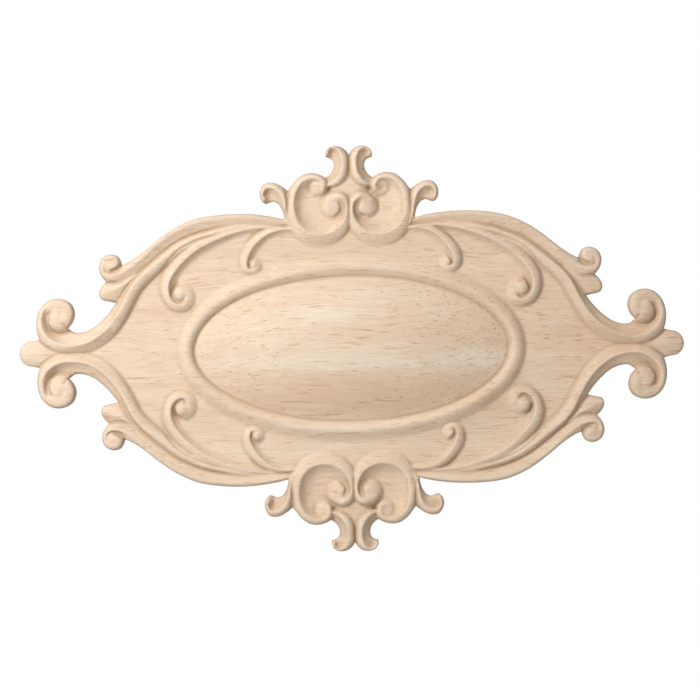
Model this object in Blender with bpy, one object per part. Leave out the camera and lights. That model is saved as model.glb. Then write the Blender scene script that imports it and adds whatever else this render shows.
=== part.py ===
"""Carved oval applique in one piece of wood: a domed oval inside a rim, a scroll crest above and below it,
and leaf bands that run out to a curled end on each side. The back is flat, to be fixed to a surface."""
import math
import bmesh
import bpy
import numpy as np
from mathutils import Vector
from mathutils.geometry import delaunay_2d_cdt

for old in list(bpy.data.objects):
    bpy.data.objects.remove(old, do_unlink=True)

# Driving sizes in millimetres, for a piece DRAWN_LENGTH long. LENGTH is the real one's. The piece has two
# planes of symmetry, so one quarter is described: across is measured from the middle to the side, up from
# the middle to the top.
LENGTH = 300.0
DRAWN_LENGTH = 300.0
FIELD_THICK = 6.0
RIM_ACROSS = 74.4
RIM_UP = 36.4
RIM_OUTER_WIDTH = 4.6
RIM_INNER_WIDTH = 4.1
RIM_HIGH = 2.6
RIM_RINGS = (-RIM_INNER_WIDTH, -RIM_INNER_WIDTH / 2, 0.0, RIM_OUTER_WIDTH / 2, RIM_OUTER_WIDTH)
DOME_HIGH = 9.0
DOME_POWER = 2.1
EDGE_ROUND = 1.8
HOLLOW_POWER = 2.2

# Spacing of the faces, in millimetres. A foot is tested a little inside itself, and left out where it
# runs much longer or shorter than its ridge, as in a tight curl.
OUTLINE_STEP = 2.3
RIDGE_STEP = 2.6
RIM_COUNT = 19
FOOT_STEP = 3.2
FOOT_TEST = 0.9
FOOT_SPREAD = 1.35
AXIS_STEP = 4.0
CURVE_STEP = 0.5
CURVE_SAMPLES = 16
CLOSEST = 0.9
TEST_STEP = 0.8
# Faces are added where the carving stands furthest from them, in rounds, up to this many points.
ROUNDS = 9
QUARTER_POINTS = 1120
# How many points are measured against a line at once, and the smallest lengths that matter.
BATCH = 1500
TINY = 1e-6
MERGE_DISTANCE = 0.00001
SHARP_DEGREES = 35.0
METRES = 0.001
INSIDE_ONLY = 1

# Outline of the quarter, as smooth runs that meet in corners.
OUTLINE = {
    "top hook, outside": [
        (0.0, 87.6), (1.1, 89.3), (3.2, 91.0), (6.4, 91.7), (9.3, 90.5), (10.6, 88.0), (10.4, 86.7)],
    "top hook, inside": [
        (10.4, 86.7), (9.0, 86.4), (7.5, 85.3), (6.85, 83.0), (7.5, 80.5), (9.0, 78.5), (10.7, 77.4)],
    "scroll": [
        (10.7, 77.4), (13.2, 78.7), (16.8, 79.5), (20.6, 78.8), (24.4, 76.0), (26.8, 72.9),
        (27.9, 71.6)],
    "side hook, outside": [
        (27.9, 71.6), (30.2, 73.5), (34.2, 75.4), (38.2, 74.9), (40.4, 71.2), (39.8, 67.4),
        (37.9, 66.0), (36.2, 66.6)],
    "side hook, inside": [
        (36.2, 66.6), (34.6, 67.1), (32.4, 66.0), (30.7, 63.4), (29.8, 60.6), (29.6, 58.7)],
    "outer band": [
        (29.6, 58.7), (35.0, 60.0), (43.0, 61.1), (52.0, 61.5), (62.0, 60.9), (71.0, 59.1),
        (80.0, 55.1), (88.0, 49.6), (95.0, 43.9), (100.5, 40.3), (103.4, 39.2)],
    "small volute": [
        (103.4, 39.2), (103.6, 40.6), (105.3, 43.4), (108.6, 44.1), (112.0, 42.2), (113.4, 38.6),
        (112.4, 34.6), (110.3, 31.8)],
    "leaf": [
        (110.3, 31.8), (112.4, 29.7), (113.6, 26.6), (112.5, 24.0), (109.5, 23.2), (106.1, 22.4)],
    "long band": [
        (106.1, 22.4), (108.6, 19.0), (112.5, 14.8), (117.0, 11.2), (121.5, 9.5), (125.5, 9.5),
        (128.3, 11.4)],
    "end volute": [
        (128.3, 11.4), (126.1, 14.0), (125.0, 18.0), (126.5, 22.2), (131.2, 24.7), (136.4, 23.8),
        (140.4, 19.9), (142.0, 14.4), (141.7, 9.6), (140.9, 6.5)],
    "end lobe": [
        (140.9, 6.5), (143.6, 5.8), (146.8, 5.1), (149.3, 2.8), (150.0, 0.0)],
}

# Ridge of each carved stem: across, up, height over the field, width to the left of its run, width to
# the right, and how full the left and right sides are: 0 is a hollow that fades out, 1 a quarter round.
STEMS = {
    "long band": [
        (36, 57.0, 0.3, 0.6, 1.0, 0.8, 1), (44, 56.5, 1.2, 1.0, 2.0, 0.8, 1),
        (52, 55.7, 2.0, 1.4, 3.0, 0.8, 1), (60, 53.9, 2.4, 1.7, 3.4, 0.8, 1),
        (70, 51.0, 2.7, 2.0, 3.4, 0.8, 1), (80, 45.8, 3.0, 2.6, 3.8, 0.7, 1),
        (90, 38.3, 3.3, 2.9, 4.4, 0.5, 1), (95.3, 34.0, 3.5, 2.8, 4.8, 0.3, 1),
        (99.3, 29.2, 3.6, 2.9, 4.8, 0.1, 1), (102.6, 22.6, 3.7, 4.4, 4.6, 0, 1),
        (106, 16.6, 3.8, 5.2, 4.4, 0, 1), (110, 11.4, 3.9, 5.6, 4.2, 0, 1),
        (114, 7.9, 4.0, 5.8, 4.2, 0, 1), (118, 5.6, 4.0, 6.0, 4.4, 0, 1),
        (122, 4.4, 4.0, 6.2, 4.8, 0, 1), (126, 4.0, 4.1, 6.4, 5.2, 0, 1),
        (130, 4.4, 4.2, 6.4, 5.4, 0, 1), (134, 6.0, 4.3, 5.6, 5.4, 0, 1),
        (137.4, 8.8, 4.4, 4.2, 5.0, 0, 1), (139.5, 12.6, 4.3, 3.4, 4.4, 0, 1),
        (139.8, 16.2, 4.2, 3.0, 4.2, 0.1, 1), (138.3, 19.6, 4.1, 3.8, 4.0, 0.6, 1),
        (135.4, 21.6, 4.1, 6.0, 4.2, 1, 1), (131.8, 22.0, 4.2, 7.0, 4.2, 1, 1),
        (128.8, 20.2, 4.3, 7.0, 4.6, 1, 1), (128.3, 17.2, 4.5, 6.0, 4.6, 1, 1),
        (130.0, 15.2, 4.6, 4.6, 5.4, 1, 1), (132.3, 15.6, 4.7, 4.0, 6.2, 1, 1),
        (132.6, 17.4, 4.7, 4.4, 6.0, 1, 1)],
    "outer band": [
        (25.5, 56.4, 0.6, 1.5, 1.2, 1, 0.6), (29.0, 57.3, 1.6, 2.0, 1.5, 1, 0.6),
        (34, 58.3, 2.2, 2.6, 3.0, 1, 0.6), (43, 59.3, 2.5, 3.2, 4.0, 1, 0.6),
        (52, 59.7, 2.7, 3.4, 4.8, 1, 0.6), (62, 59.1, 2.9, 3.6, 5.4, 1, 0.55),
        (71, 57.2, 3.0, 3.8, 6.0, 1, 0.5), (80, 53.1, 3.1, 4.0, 6.2, 1, 0.45),
        (88, 47.6, 3.2, 4.4, 6.0, 1, 0.45), (95, 41.4, 3.3, 5.0, 5.4, 0.9, 0.5),
        (100, 37.6, 3.4, 5.0, 4.8, 0.7, 0.6), (104, 35.7, 3.5, 4.0, 4.6, 0.3, 0.8),
        (107.6, 35.0, 3.6, 2.6, 4.2, 0, 1), (110.7, 36.1, 3.6, 2.4, 4.0, 0.2, 1),
        (111.8, 38.6, 3.6, 3.6, 3.2, 0.9, 1), (110.9, 41.0, 3.6, 5.0, 3.4, 1, 1),
        (108.7, 42.0, 3.7, 5.0, 3.4, 1, 1), (106.6, 41.2, 3.8, 4.0, 3.6, 1, 1),
        (106.4, 39.6, 3.9, 3.0, 3.4, 1, 1), (107.8, 38.9, 4.0, 3.0, 3.4, 1, 1),
        (108.7, 39.6, 4.0, 3.0, 3.6, 1, 1)],
    "leaf": [
        (96.5, 34.4, 2.0, 2.5, 2.5, 0.6, 0.6), (101, 31.4, 2.8, 3.6, 3.6, 0.55, 0.6),
        (105, 29.3, 2.9, 4.6, 5.0, 0.6, 0.7), (109, 27.7, 2.7, 5.2, 5.6, 0.6, 0.8),
        (114.4, 26.0, 2.2, 5.6, 5.8, 0.6, 0.8)],
    "large curl": [
        (30, 56.0, 0.3, 0.5, 1.0, 1, 0.2), (36, 55.4, 1.2, 0.9, 1.6, 1, 0.2),
        (44, 54.6, 1.9, 1.8, 2.4, 1, 0.1), (52, 52.9, 2.4, 2.8, 3.2, 1, 0),
        (60, 50.2, 2.7, 3.6, 3.8, 1, 0), (68, 46.3, 2.9, 4.1, 4.2, 1, 0),
        (74.5, 41.7, 3.0, 4.4, 4.4, 1, 0), (79.4, 36.7, 3.0, 4.6, 4.4, 1, 0),
        (82.3, 31.4, 3.0, 4.7, 4.0, 1, 0), (82.7, 27.4, 3.0, 4.4, 2.8, 1, 0),
        (81.6, 23.9, 3.0, 4.0, 2.4, 1, 0), (79.2, 21.4, 2.9, 3.6, 2.4, 1, 0.1),
        (76.0, 20.6, 2.8, 3.0, 2.8, 1, 0.4), (73.4, 21.9, 2.8, 2.8, 4.2, 1, 0.9),
        (72.6, 24.6, 2.8, 2.6, 5.2, 1, 1), (73.4, 27.0, 2.9, 2.8, 5.2, 1, 1),
        (75.4, 28.0, 3.0, 2.8, 4.2, 1, 1), (77.2, 27.0, 3.1, 3.2, 3.4, 1, 1),
        (77.2, 25.4, 3.1, 3.6, 3.2, 1, 1)],
    "small curl": [
        (25, 54.0, 0.9, 1.0, 1.2, 1, 0.2), (28, 54.1, 1.6, 1.3, 1.8, 1, 0.2),
        (32, 53.9, 2.1, 1.9, 2.4, 1, 0.1), (37, 52.3, 2.4, 2.9, 3.0, 1, 0),
        (41, 49.4, 2.6, 3.7, 3.6, 1, 0), (44.4, 45.6, 2.7, 4.1, 3.8, 1, 0),
        (46.4, 41.8, 2.7, 4.4, 3.2, 1, 0), (46.9, 39.4, 2.7, 4.0, 2.2, 1, 0),
        (46.4, 37.4, 2.6, 3.4, 1.8, 1, 0), (44.9, 36.3, 2.4, 2.4, 1.7, 1, 0.3),
        (43.0, 36.3, 2.4, 2.0, 2.4, 1, 0.9), (41.9, 37.6, 2.4, 1.9, 3.0, 1, 1),
        (41.8, 39.3, 2.5, 2.0, 3.0, 1, 1), (42.9, 40.0, 2.6, 2.0, 2.4, 1, 1),
        (43.9, 39.2, 2.7, 2.2, 2.0, 1, 1)],
    "scroll": [
        (13.6, 69.9, 1.6, 1.2, 1.4, 1, 0.5), (12.2, 71.4, 2.7, 1.6, 1.6, 1, 0.3),
        (11.9, 74.0, 3.1, 2.2, 2.4, 1, 0.1), (13.6, 76.6, 3.1, 2.6, 4.0, 1, 0),
        (17.2, 77.5, 3.1, 3.0, 5.2, 1, 0), (21.2, 76.1, 3.1, 3.2, 6.0, 1, 0),
        (24.5, 72.4, 3.1, 3.0, 6.8, 1, 0), (26.0, 67.6, 3.1, 2.6, 7.4, 1, 0),
        (26.1, 62.8, 3.1, 2.8, 7.4, 1, 0), (24.5, 57.9, 3.1, 3.5, 7.2, 1, 0),
        (21.0, 54.0, 3.0, 4.4, 7.2, 1, 0), (16.0, 52.0, 2.9, 4.8, 7.2, 1, 0),
        (10.6, 52.0, 2.9, 4.6, 6.6, 1, 0), (5.6, 54.4, 3.0, 4.4, 5.4, 1, 0),
        (2.6, 58.4, 3.1, 3.8, 3.6, 1, 0), (1.6, 62.8, 3.2, 3.0, 2.2, 1, 0),
        (2.4, 66.2, 3.2, 3.0, 2.2, 1, 0.2), (4.8, 68.3, 3.2, 2.8, 3.0, 1, 0.7),
        (7.6, 68.0, 3.2, 2.8, 4.4, 1, 1), (9.3, 65.8, 3.3, 2.8, 4.6, 1, 1),
        (8.9, 63.4, 3.4, 2.9, 3.8, 1, 1), (7.4, 62.6, 3.4, 2.8, 3.0, 1, 1),
        (6.6, 63.8, 3.4, 2.8, 2.6, 1, 1)],
    "top hook": [
        (9.8, 73.8, 1.8, 1.4, 1.6, 1, 0.3), (6.8, 75.9, 2.7, 2.6, 3.6, 1, 0),
        (4.4, 78.9, 3.1, 3.4, 4.4, 1, 0), (3.1, 82.8, 3.2, 3.4, 4.8, 1, 0),
        (3.2, 86.6, 3.2, 3.4, 4.4, 1, 0), (4.8, 89.6, 3.2, 2.6, 3.4, 1, 0),
        (7.2, 90.5, 3.1, 2.0, 2.6, 1, 0), (9.0, 89.6, 2.9, 1.8, 1.8, 1, 0.1),
        (9.6, 88.0, 2.6, 1.5, 1.5, 1, 0.6)],
    "side hook": [
        (26.0, 54.0, 1.0, 1.0, 1.4, 1, 0.3), (28.3, 58.6, 2.5, 1.6, 2.6, 1, 0.1),
        (29.1, 63.0, 2.9, 1.9, 3.6, 1, 0), (29.9, 67.2, 3.1, 2.4, 4.4, 1, 0),
        (31.6, 70.8, 3.1, 3.2, 4.8, 1, 0), (34.6, 73.0, 3.1, 3.4, 4.4, 1, 0),
        (37.6, 72.6, 3.0, 3.0, 3.2, 1, 0), (38.9, 70.2, 2.9, 2.4, 2.2, 1, 0.1),
        (38.4, 68.0, 2.6, 2.0, 1.8, 1, 0.6)],
    "end lobe": [
        (131.0, 0.0, 1.6, 3.0, 3.0, 0.8, 0.8), (141, 0.0, 2.8, 8.5, 8.5, 0.8, 0.8),
        (149.5, 0.0, 2.4, 8.5, 8.5, 0.8, 0.8)],
}

# Swells and sinks of the field itself: middle across, middle up, half width, half height, rise, power.
FIELD_SWELLS = {
    "sunk between the stems": (60.0, 40.0, 22.0, 9.0, -0.7, 2),
    "raised between the top hooks": (0.0, 75.0, 6.5, 8.0, 1.4, 4),
    "deep corner beside the scroll": (9.2, 72.4, 1.0, 1.0, -1.6, 2),
}
DISH_MIDDLE = (15.0, 64.4)
DISH_RADII = (11.0, 12.4)
DISH_DEEP = 1.8


def smooth_curve(knots, step):
    """Points about one step apart on a smooth curve through the knots; further columns go with them."""
    k = np.array(knots, float)
    k = np.vstack([2 * k[0] - k[1], k, 2 * k[-1] - k[-2]])
    found = []
    for i in range(1, len(k) - 2):
        p0, p1, p2, p3 = k[i - 1:i + 3]
        t1 = np.hypot(*(p1 - p0)[:2]) ** 0.5
        t2 = t1 + np.hypot(*(p2 - p1)[:2]) ** 0.5
        t3 = t2 + np.hypot(*(p3 - p2)[:2]) ** 0.5
        t = np.linspace(t1, t2, CURVE_SAMPLES, endpoint=False)[:, None]
        a1 = (t1 - t) / t1 * p0 + t / t1 * p1
        a2 = (t2 - t) / (t2 - t1) * p1 + (t - t1) / (t2 - t1) * p2
        a3 = (t3 - t) / (t3 - t2) * p2 + (t - t2) / (t3 - t2) * p3
        b1 = (t2 - t) / t2 * a1 + t / t2 * a2
        b2 = (t3 - t) / (t3 - t1) * a2 + (t - t1) / (t3 - t1) * a3
        found.append((t2 - t) / (t2 - t1) * b1 + (t - t1) / (t2 - t1) * b2)
    found.append(k[-2:-1])
    points = np.vstack(found)
    gone = np.concatenate([[0], np.cumsum(np.hypot(*np.diff(points[:, :2], axis=0).T))])
    count = max(1, int(round(gone[-1] / step)))
    places = np.linspace(0, gone[-1], count + 1)
    return np.stack([np.interp(places, gone, column) for column in points.T], 1)


def outline(step):
    """The quarter's edge, from the top middle to the end of the side."""
    runs = [smooth_curve(run, step)[:-1] for run in OUTLINE.values()]
    return np.vstack(runs + [[list(OUTLINE.values())[-1][-1]]])


def to_line(points, line):
    """Distance from each point to each piece of a line, whether it is on its left, and how far along."""
    start = line[:-1, :2]
    run = line[1:, :2] - start
    rel = points[:, None, :] - start[None]
    along = np.clip((rel * run[None]).sum(2) / (run ** 2).sum(1), 0, 1)
    off = rel - along[..., None] * run[None]
    left = run[None, :, 0] * rel[..., 1] > run[None, :, 1] * rel[..., 0]
    return np.sqrt((off ** 2).sum(2)), left, along


def side_fall(t, fullness):
    """Share of the ridge height left at t of the way to the foot."""
    t = np.clip(t, 0, 1)
    return (1 - fullness) * (1 - t) ** HOLLOW_POWER + fullness * np.sqrt(1 - t * t)


def stem_height(points, line):
    """Height that one stem gives at each point."""
    high = np.zeros(len(points))
    reach = line[:, 3:5].max()
    low_corner = line[:, :2].min(0) - reach
    high_corner = line[:, :2].max(0) + reach
    close = np.where(((points > low_corner) & (points < high_corner)).all(1))[0]
    for first in range(0, len(close), BATCH):
        chosen = close[first:first + BATCH]
        distance, left, along = to_line(points[chosen], line)
        here = [line[:-1, c] * (1 - along) + line[1:, c] * along for c in range(2, 7)]
        width = np.where(left, here[1], here[2])
        fullness = np.where(left, here[3], here[4])
        high[chosen] = (here[0] * side_fall(distance / width, fullness)).max(1)
    return high


def edge_distance(points, edge):
    """Distance from each point to the quarter's edge."""
    found = np.empty(len(points))
    for first in range(0, len(points), BATCH):
        found[first:first + BATCH] = to_line(points[first:first + BATCH], edge)[0].min(1)
    return found


def soft_step(t):
    """1 at the middle, 0 at t of 1 or more, level at both."""
    return 0.5 + 0.5 * np.cos(np.pi * np.clip(t, 0, 1))


def rim_distance(across, up):
    """Distance to the crest of the oval rim, below 0 inside it."""
    across = np.maximum(across, TINY)
    f = np.hypot(across / RIM_ACROSS, up / RIM_UP)
    g = np.hypot(across / RIM_ACROSS ** 2, up / RIM_UP ** 2)
    return f * (f - 1) / g


def carved_height(points, ridges, edge):
    """Thickness of the wood at each point of the quarter, and the number of the stem that makes it."""
    across, up = points.T
    field = np.full(len(points), FIELD_THICK)
    for middle_across, middle_up, half_width, half_height, rise, power in FIELD_SWELLS.values():
        spread = ((across - middle_across) / half_width) ** power + ((up - middle_up) / half_height) ** power
        field += rise * np.exp(-spread)
    dish = ((across - DISH_MIDDLE[0]) / DISH_RADII[0]) ** 2 + ((up - DISH_MIDDLE[1]) / DISH_RADII[1]) ** 2
    field -= DISH_DEEP * np.clip(1 - dish, 0, 1)
    layers = np.stack([np.zeros(len(points))] + [stem_height(points, line) for line in ridges])
    owner = layers.argmax(0)
    rim_off = rim_distance(across, up)
    rim_width = np.where(rim_off > 0, RIM_OUTER_WIDTH, RIM_INNER_WIDTH)
    rim = RIM_HIGH * soft_step(np.abs(rim_off) / rim_width)
    share = np.hypot(across / (RIM_ACROSS - RIM_INNER_WIDTH), up / (RIM_UP - RIM_INNER_WIDTH))
    dome = DOME_HIGH * np.clip(1 - share ** DOME_POWER, 0, 1)
    high = np.where(rim_off < 0, FIELD_THICK + np.maximum(rim, dome), field + np.maximum(layers.max(0), rim))
    turn = np.clip(1 - edge_distance(points, edge) / EDGE_ROUND, 0, 1)
    return high - EDGE_ROUND * (1 - np.sqrt(1 - turn ** 2)), owner


def triangles(points, edges):
    """Flat triangles inside the closed constraint, with the points that they use."""
    out = delaunay_2d_cdt([Vector(p) for p in points], edges, [], INSIDE_ONLY, TINY)
    flat = np.array([tuple(v) for v in out[0]])
    faces = np.array([tuple(f) for f in out[2]])
    a, b, c = flat[faces[:, 0]], flat[faces[:, 1]], flat[faces[:, 2]]
    turn = (b[:, 0] - a[:, 0]) * (c[:, 1] - a[:, 1]) - (b[:, 1] - a[:, 1]) * (c[:, 0] - a[:, 0])
    faces[turn < 0] = faces[turn < 0][:, ::-1]
    return flat, faces


def worst_points(flat, faces, high, tests, test_high):
    """In each triangle, the test point that stands furthest from it, with that distance."""
    found = []
    for face in faces:
        a, b, c = flat[face]
        low_corner = flat[face].min(0)
        high_corner = flat[face].max(0)
        close = np.where(((tests >= low_corner) & (tests <= high_corner)).all(1))[0]
        if not len(close):
            continue
        turn = (b[0] - a[0]) * (c[1] - a[1]) - (b[1] - a[1]) * (c[0] - a[0])
        rel = tests[close] - a
        s = (rel[:, 0] * (c[1] - a[1]) - rel[:, 1] * (c[0] - a[0])) / turn
        t = (rel[:, 1] * (b[0] - a[0]) - rel[:, 0] * (b[1] - a[1])) / turn
        inside = (s >= 0) & (t >= 0) & (s + t <= 1)
        if not inside.any():
            continue
        flat_high = high[face[0]] * (1 - s - t) + high[face[1]] * s + high[face[2]] * t
        error = np.where(inside, np.abs(flat_high - test_high[close]), 0)
        worst = error.argmax()
        found.append((error[worst], close[worst]))
    return sorted(found, reverse=True)


def foot_line(line, share):
    """The line at a share of the side's width from the ridge: the left side, or the right where below 0."""
    run = np.gradient(line[:, :2], axis=0)
    normal = np.stack([-run[:, 1], run[:, 0]], 1) / np.hypot(*run.T)[:, None]
    width = line[:, 3] if share > 0 else line[:, 4]
    return line[:, :2] + normal * (width * share)[:, None]


def inside_quarter(points, edge):
    """Whether each point is inside the quarter's outline."""
    loop = np.vstack([edge, [(0.0, 0.0)]])
    after = np.roll(loop, -1, axis=0)
    inside = np.zeros(len(points), bool)
    for (ax, ay), (bx, by) in zip(loop, after):
        cross = (ay > points[:, 1]) != (by > points[:, 1])
        if ay != by:
            inside ^= cross & (points[:, 0] < ax + (bx - ax) * (points[:, 1] - ay) / (by - ay))
    return inside


def axis_places(end, rim):
    """Places along one axis of the quarter: on each line of the rim, and evenly elsewhere."""
    lines = [rim + off for off in RIM_RINGS]
    even = [i * AXIS_STEP for i in range(1, int(end / AXIS_STEP))]
    free = [place for place in even if min(abs(place - line) for line in lines) > CLOSEST]
    return sorted(lines + free)


def quarter_loop():
    """The closed edge of one quarter: its outline, then back along both axes."""
    edge = outline(OUTLINE_STEP)
    side = axis_places(edge[-1][0], RIM_ACROSS)
    rise = axis_places(edge[0][1], RIM_UP)
    return edge.tolist() + [(p, 0.0) for p in reversed(side)] + [(0.0, 0.0)] + [(0.0, p) for p in rise]


def ridge_points(knots, fine_edge):
    """Points along a ridge, clear of the outline and the axes, and the pairs of them that are joined."""
    line = smooth_curve(knots, RIDGE_STEP)[:, :2]
    clear = (edge_distance(line, fine_edge) > CLOSEST) & (line.min(1) > CLOSEST)
    line = line[clear]
    joined = np.hypot(*np.diff(line, axis=0).T) < 2 * RIDGE_STEP
    return line, np.where(joined)[0]


def foot_points(number, side, ridges, fine_edge):
    """Points along one foot of a stem, where it is not covered and not tightly curled, and joined pairs."""
    line = smooth_curve(list(STEMS.values())[number], FOOT_STEP)
    foot = foot_line(line, side)
    _, owner = carved_height(foot_line(line, side * FOOT_TEST), ridges, fine_edge)
    spread = np.hypot(*np.gradient(foot, axis=0).T) / np.hypot(*np.gradient(line[:, :2], axis=0).T)
    clear = (owner == 1 + number) & (spread > 1 / FOOT_SPREAD) & (spread < FOOT_SPREAD)
    clear &= (edge_distance(foot, fine_edge) > CLOSEST) & (foot.min(1) > CLOSEST)
    clear &= inside_quarter(foot, fine_edge)
    place = np.cumsum(clear) - 1
    return foot[clear], place[:-1][clear[:-1] & clear[1:]]


def rim_points():
    """Rings of points along the rim, without their ends on the axes."""
    angle = np.linspace(0, np.pi / 2, RIM_COUNT + 1)[1:-1]
    rings = [((RIM_ACROSS + off) * np.cos(angle), (RIM_UP + off) * np.sin(angle)) for off in RIM_RINGS]
    return np.hstack(rings).T


def test_points(ridges, fine_edge):
    """An even grid of points inside the quarter, with the carving's height at each."""
    column = np.arange(TEST_STEP / 2, fine_edge[:, 0].max(), TEST_STEP)
    row = np.arange(TEST_STEP / 2, fine_edge[:, 1].max(), TEST_STEP)
    tests = np.stack([axis.ravel() for axis in np.meshgrid(column, row)], 1)
    tests = tests[edge_distance(tests, fine_edge) > CLOSEST]
    return tests, carved_height(tests, ridges, fine_edge)[0]


def quarter_mesh():
    """Front triangles of one quarter: its points, their heights and the faces."""
    ridges = [smooth_curve(knots, CURVE_STEP) for knots in STEMS.values()]
    fine_edge = outline(CURVE_STEP)
    points = quarter_loop()
    edges = [(i, i + 1) for i in range(len(points) - 1)] + [(len(points) - 1, 0)]
    lines = [ridge_points(knots, fine_edge) for knots in STEMS.values()]
    for number in range(len(STEMS)):
        lines += [foot_points(number, side, ridges, fine_edge) for side in (1, -1)]
    for line, joined in lines:
        edges += [(len(points) + i, len(points) + i + 1) for i in joined]
        points += line.tolist()
    points += rim_points().tolist()
    tests, test_high = test_points(ridges, fine_edge)
    for _ in range(ROUNDS):
        flat, faces = triangles(points, edges)
        high = carved_height(flat, ridges, fine_edge)[0]
        room = QUARTER_POINTS - len(points)
        added = []
        for _, index in worst_points(flat, faces, high, tests, test_high):
            place = tests[index]
            if all(np.hypot(*(place - other)) > 2 * CLOSEST for other in added):
                added.append(place)
            if len(added) >= max(1, room // 2):
                break
        points += [place.tolist() for place in added]
        if len(points) >= QUARTER_POINTS:
            break
    flat, faces = triangles(points, edges)
    return flat, carved_height(flat, ridges, fine_edge)[0], faces


def on_axis(edge):
    """Whether an edge lies on one of the two planes of symmetry."""
    return all(v.co.x == 0.0 for v in edge.verts) or all(v.co.z == 0.0 for v in edge.verts)


def build_applique():
    """One quarter: the carved front, straight walls down from its outline and a flat back; then mirrored."""
    scale = LENGTH / DRAWN_LENGTH * METRES
    flat, high, faces = quarter_mesh()
    body = bmesh.new()
    front = [body.verts.new((p[0] * scale, -h * scale, p[1] * scale)) for p, h in zip(flat, high)]
    for face in faces:
        body.faces.new([front[i] for i in face])
    silhouette = [e for e in body.edges if e.is_boundary and not on_axis(e)]
    walls = bmesh.ops.extrude_edge_only(body, edges=silhouette)["geom"]
    back = [v for v in walls if isinstance(v, bmesh.types.BMVert)]
    for v in back:
        v.co.y = 0.0
    back_rim = [e for e in walls if isinstance(e, bmesh.types.BMEdge) and all(v in back for v in e.verts)]
    middle = body.verts.new((0.0, 0.0, 0.0))
    top = next(v for v in back if v.co.x == 0.0)
    end = next(v for v in back if v.co.z == 0.0)
    back_rim += [body.edges.new((middle, top)), body.edges.new((end, middle))]
    bmesh.ops.triangle_fill(body, edges=back_rim, use_beauty=True)
    bmesh.ops.recalc_face_normals(body, faces=body.faces)
    mesh = bpy.data.meshes.new("carved_applique")
    body.to_mesh(mesh)
    body.free()
    mesh.shade_smooth()
    mesh.set_sharp_from_angle(angle=math.radians(SHARP_DEGREES))
    piece = bpy.data.objects.new("carved_applique", mesh)
    bpy.context.collection.objects.link(piece)
    mirror = piece.modifiers.new("four quarters", "MIRROR")
    mirror.use_axis = (True, False, True)
    mirror.use_clip = True
    mirror.merge_threshold = MERGE_DISTANCE
    return piece


def bare_wood():
    """Pale sanded wood with no coat on it."""
    material = bpy.data.materials.new("bare_wood")
    material.use_nodes = True
    shader = material.node_tree.nodes["Principled BSDF"]
    shader.inputs["Base Color"].default_value = (0.72, 0.53, 0.36, 1.0)
    shader.inputs["Roughness"].default_value = 0.62
    shader.inputs["Metallic"].default_value = 0.0
    return material


applique = build_applique()
applique.data.materials.append(bare_wood())
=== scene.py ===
import math
import bpy
import numpy as np
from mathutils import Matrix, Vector
from mathutils.geometry import delaunay_2d_cdt


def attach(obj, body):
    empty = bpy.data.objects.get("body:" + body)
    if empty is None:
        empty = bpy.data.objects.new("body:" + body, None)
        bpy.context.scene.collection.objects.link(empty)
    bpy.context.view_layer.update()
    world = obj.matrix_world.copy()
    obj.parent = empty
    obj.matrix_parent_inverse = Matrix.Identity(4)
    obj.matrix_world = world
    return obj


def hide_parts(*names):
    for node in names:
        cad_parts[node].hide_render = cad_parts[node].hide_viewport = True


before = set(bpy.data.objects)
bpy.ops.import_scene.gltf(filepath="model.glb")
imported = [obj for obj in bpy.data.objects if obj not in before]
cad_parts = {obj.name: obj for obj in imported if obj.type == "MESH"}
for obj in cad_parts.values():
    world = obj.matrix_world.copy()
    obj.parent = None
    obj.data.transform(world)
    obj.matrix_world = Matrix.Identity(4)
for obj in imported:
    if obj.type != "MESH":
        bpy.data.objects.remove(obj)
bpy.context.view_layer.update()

bl_info = {
    "name": "Carved oval applique",
    "version": (1, 0, 0),
    "blender": (4, 5, 0),
    "location": "View3D > Sidebar > Applique",
    "description": "Dresses a carved wooden oval applique and sets up its studio",
    "category": "Add Mesh",
}

# The piece in millimetres. It has two planes of symmetry, so one quarter is described: across is measured
# from the middle to the side, up from the middle to the top.
HALF_LENGTH = 150.0
HALF_HEIGHT = 91.5
FIELD_THICK = 6.0
METRES = 0.001

# The oval rim round the dome, measured to its crest. Its two sides are wider over the middle of the piece
# than at its ends, and a narrow cut runs along the foot of its inner side, shallowest over the middle.
RIM_ACROSS = 74.4
RIM_UP = 36.4
RIM_HIGH = 2.6
RIM_OUTER_WIDTH = 4.3
RIM_OUTER_SPREAD = 2.0
RIM_INNER_WIDTH = 3.4
RIM_INNER_SPREAD = 0.5
RIM_INNER_POWER = 1.15
RIM_FOOT_CUT = 0.38
RIM_FOOT_CUT_WIDTH = 0.45
RIM_FOOT_CUT_LEAST = 0.15
DOME_HIGH = 9.0
DOME_POWER = 2.1

# The side of a stem, from its ridge to its foot, as a hollow that fades out or as a quarter round.
HOLLOW_POWER = 2.6
ROUND_POWER = 0.65

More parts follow.
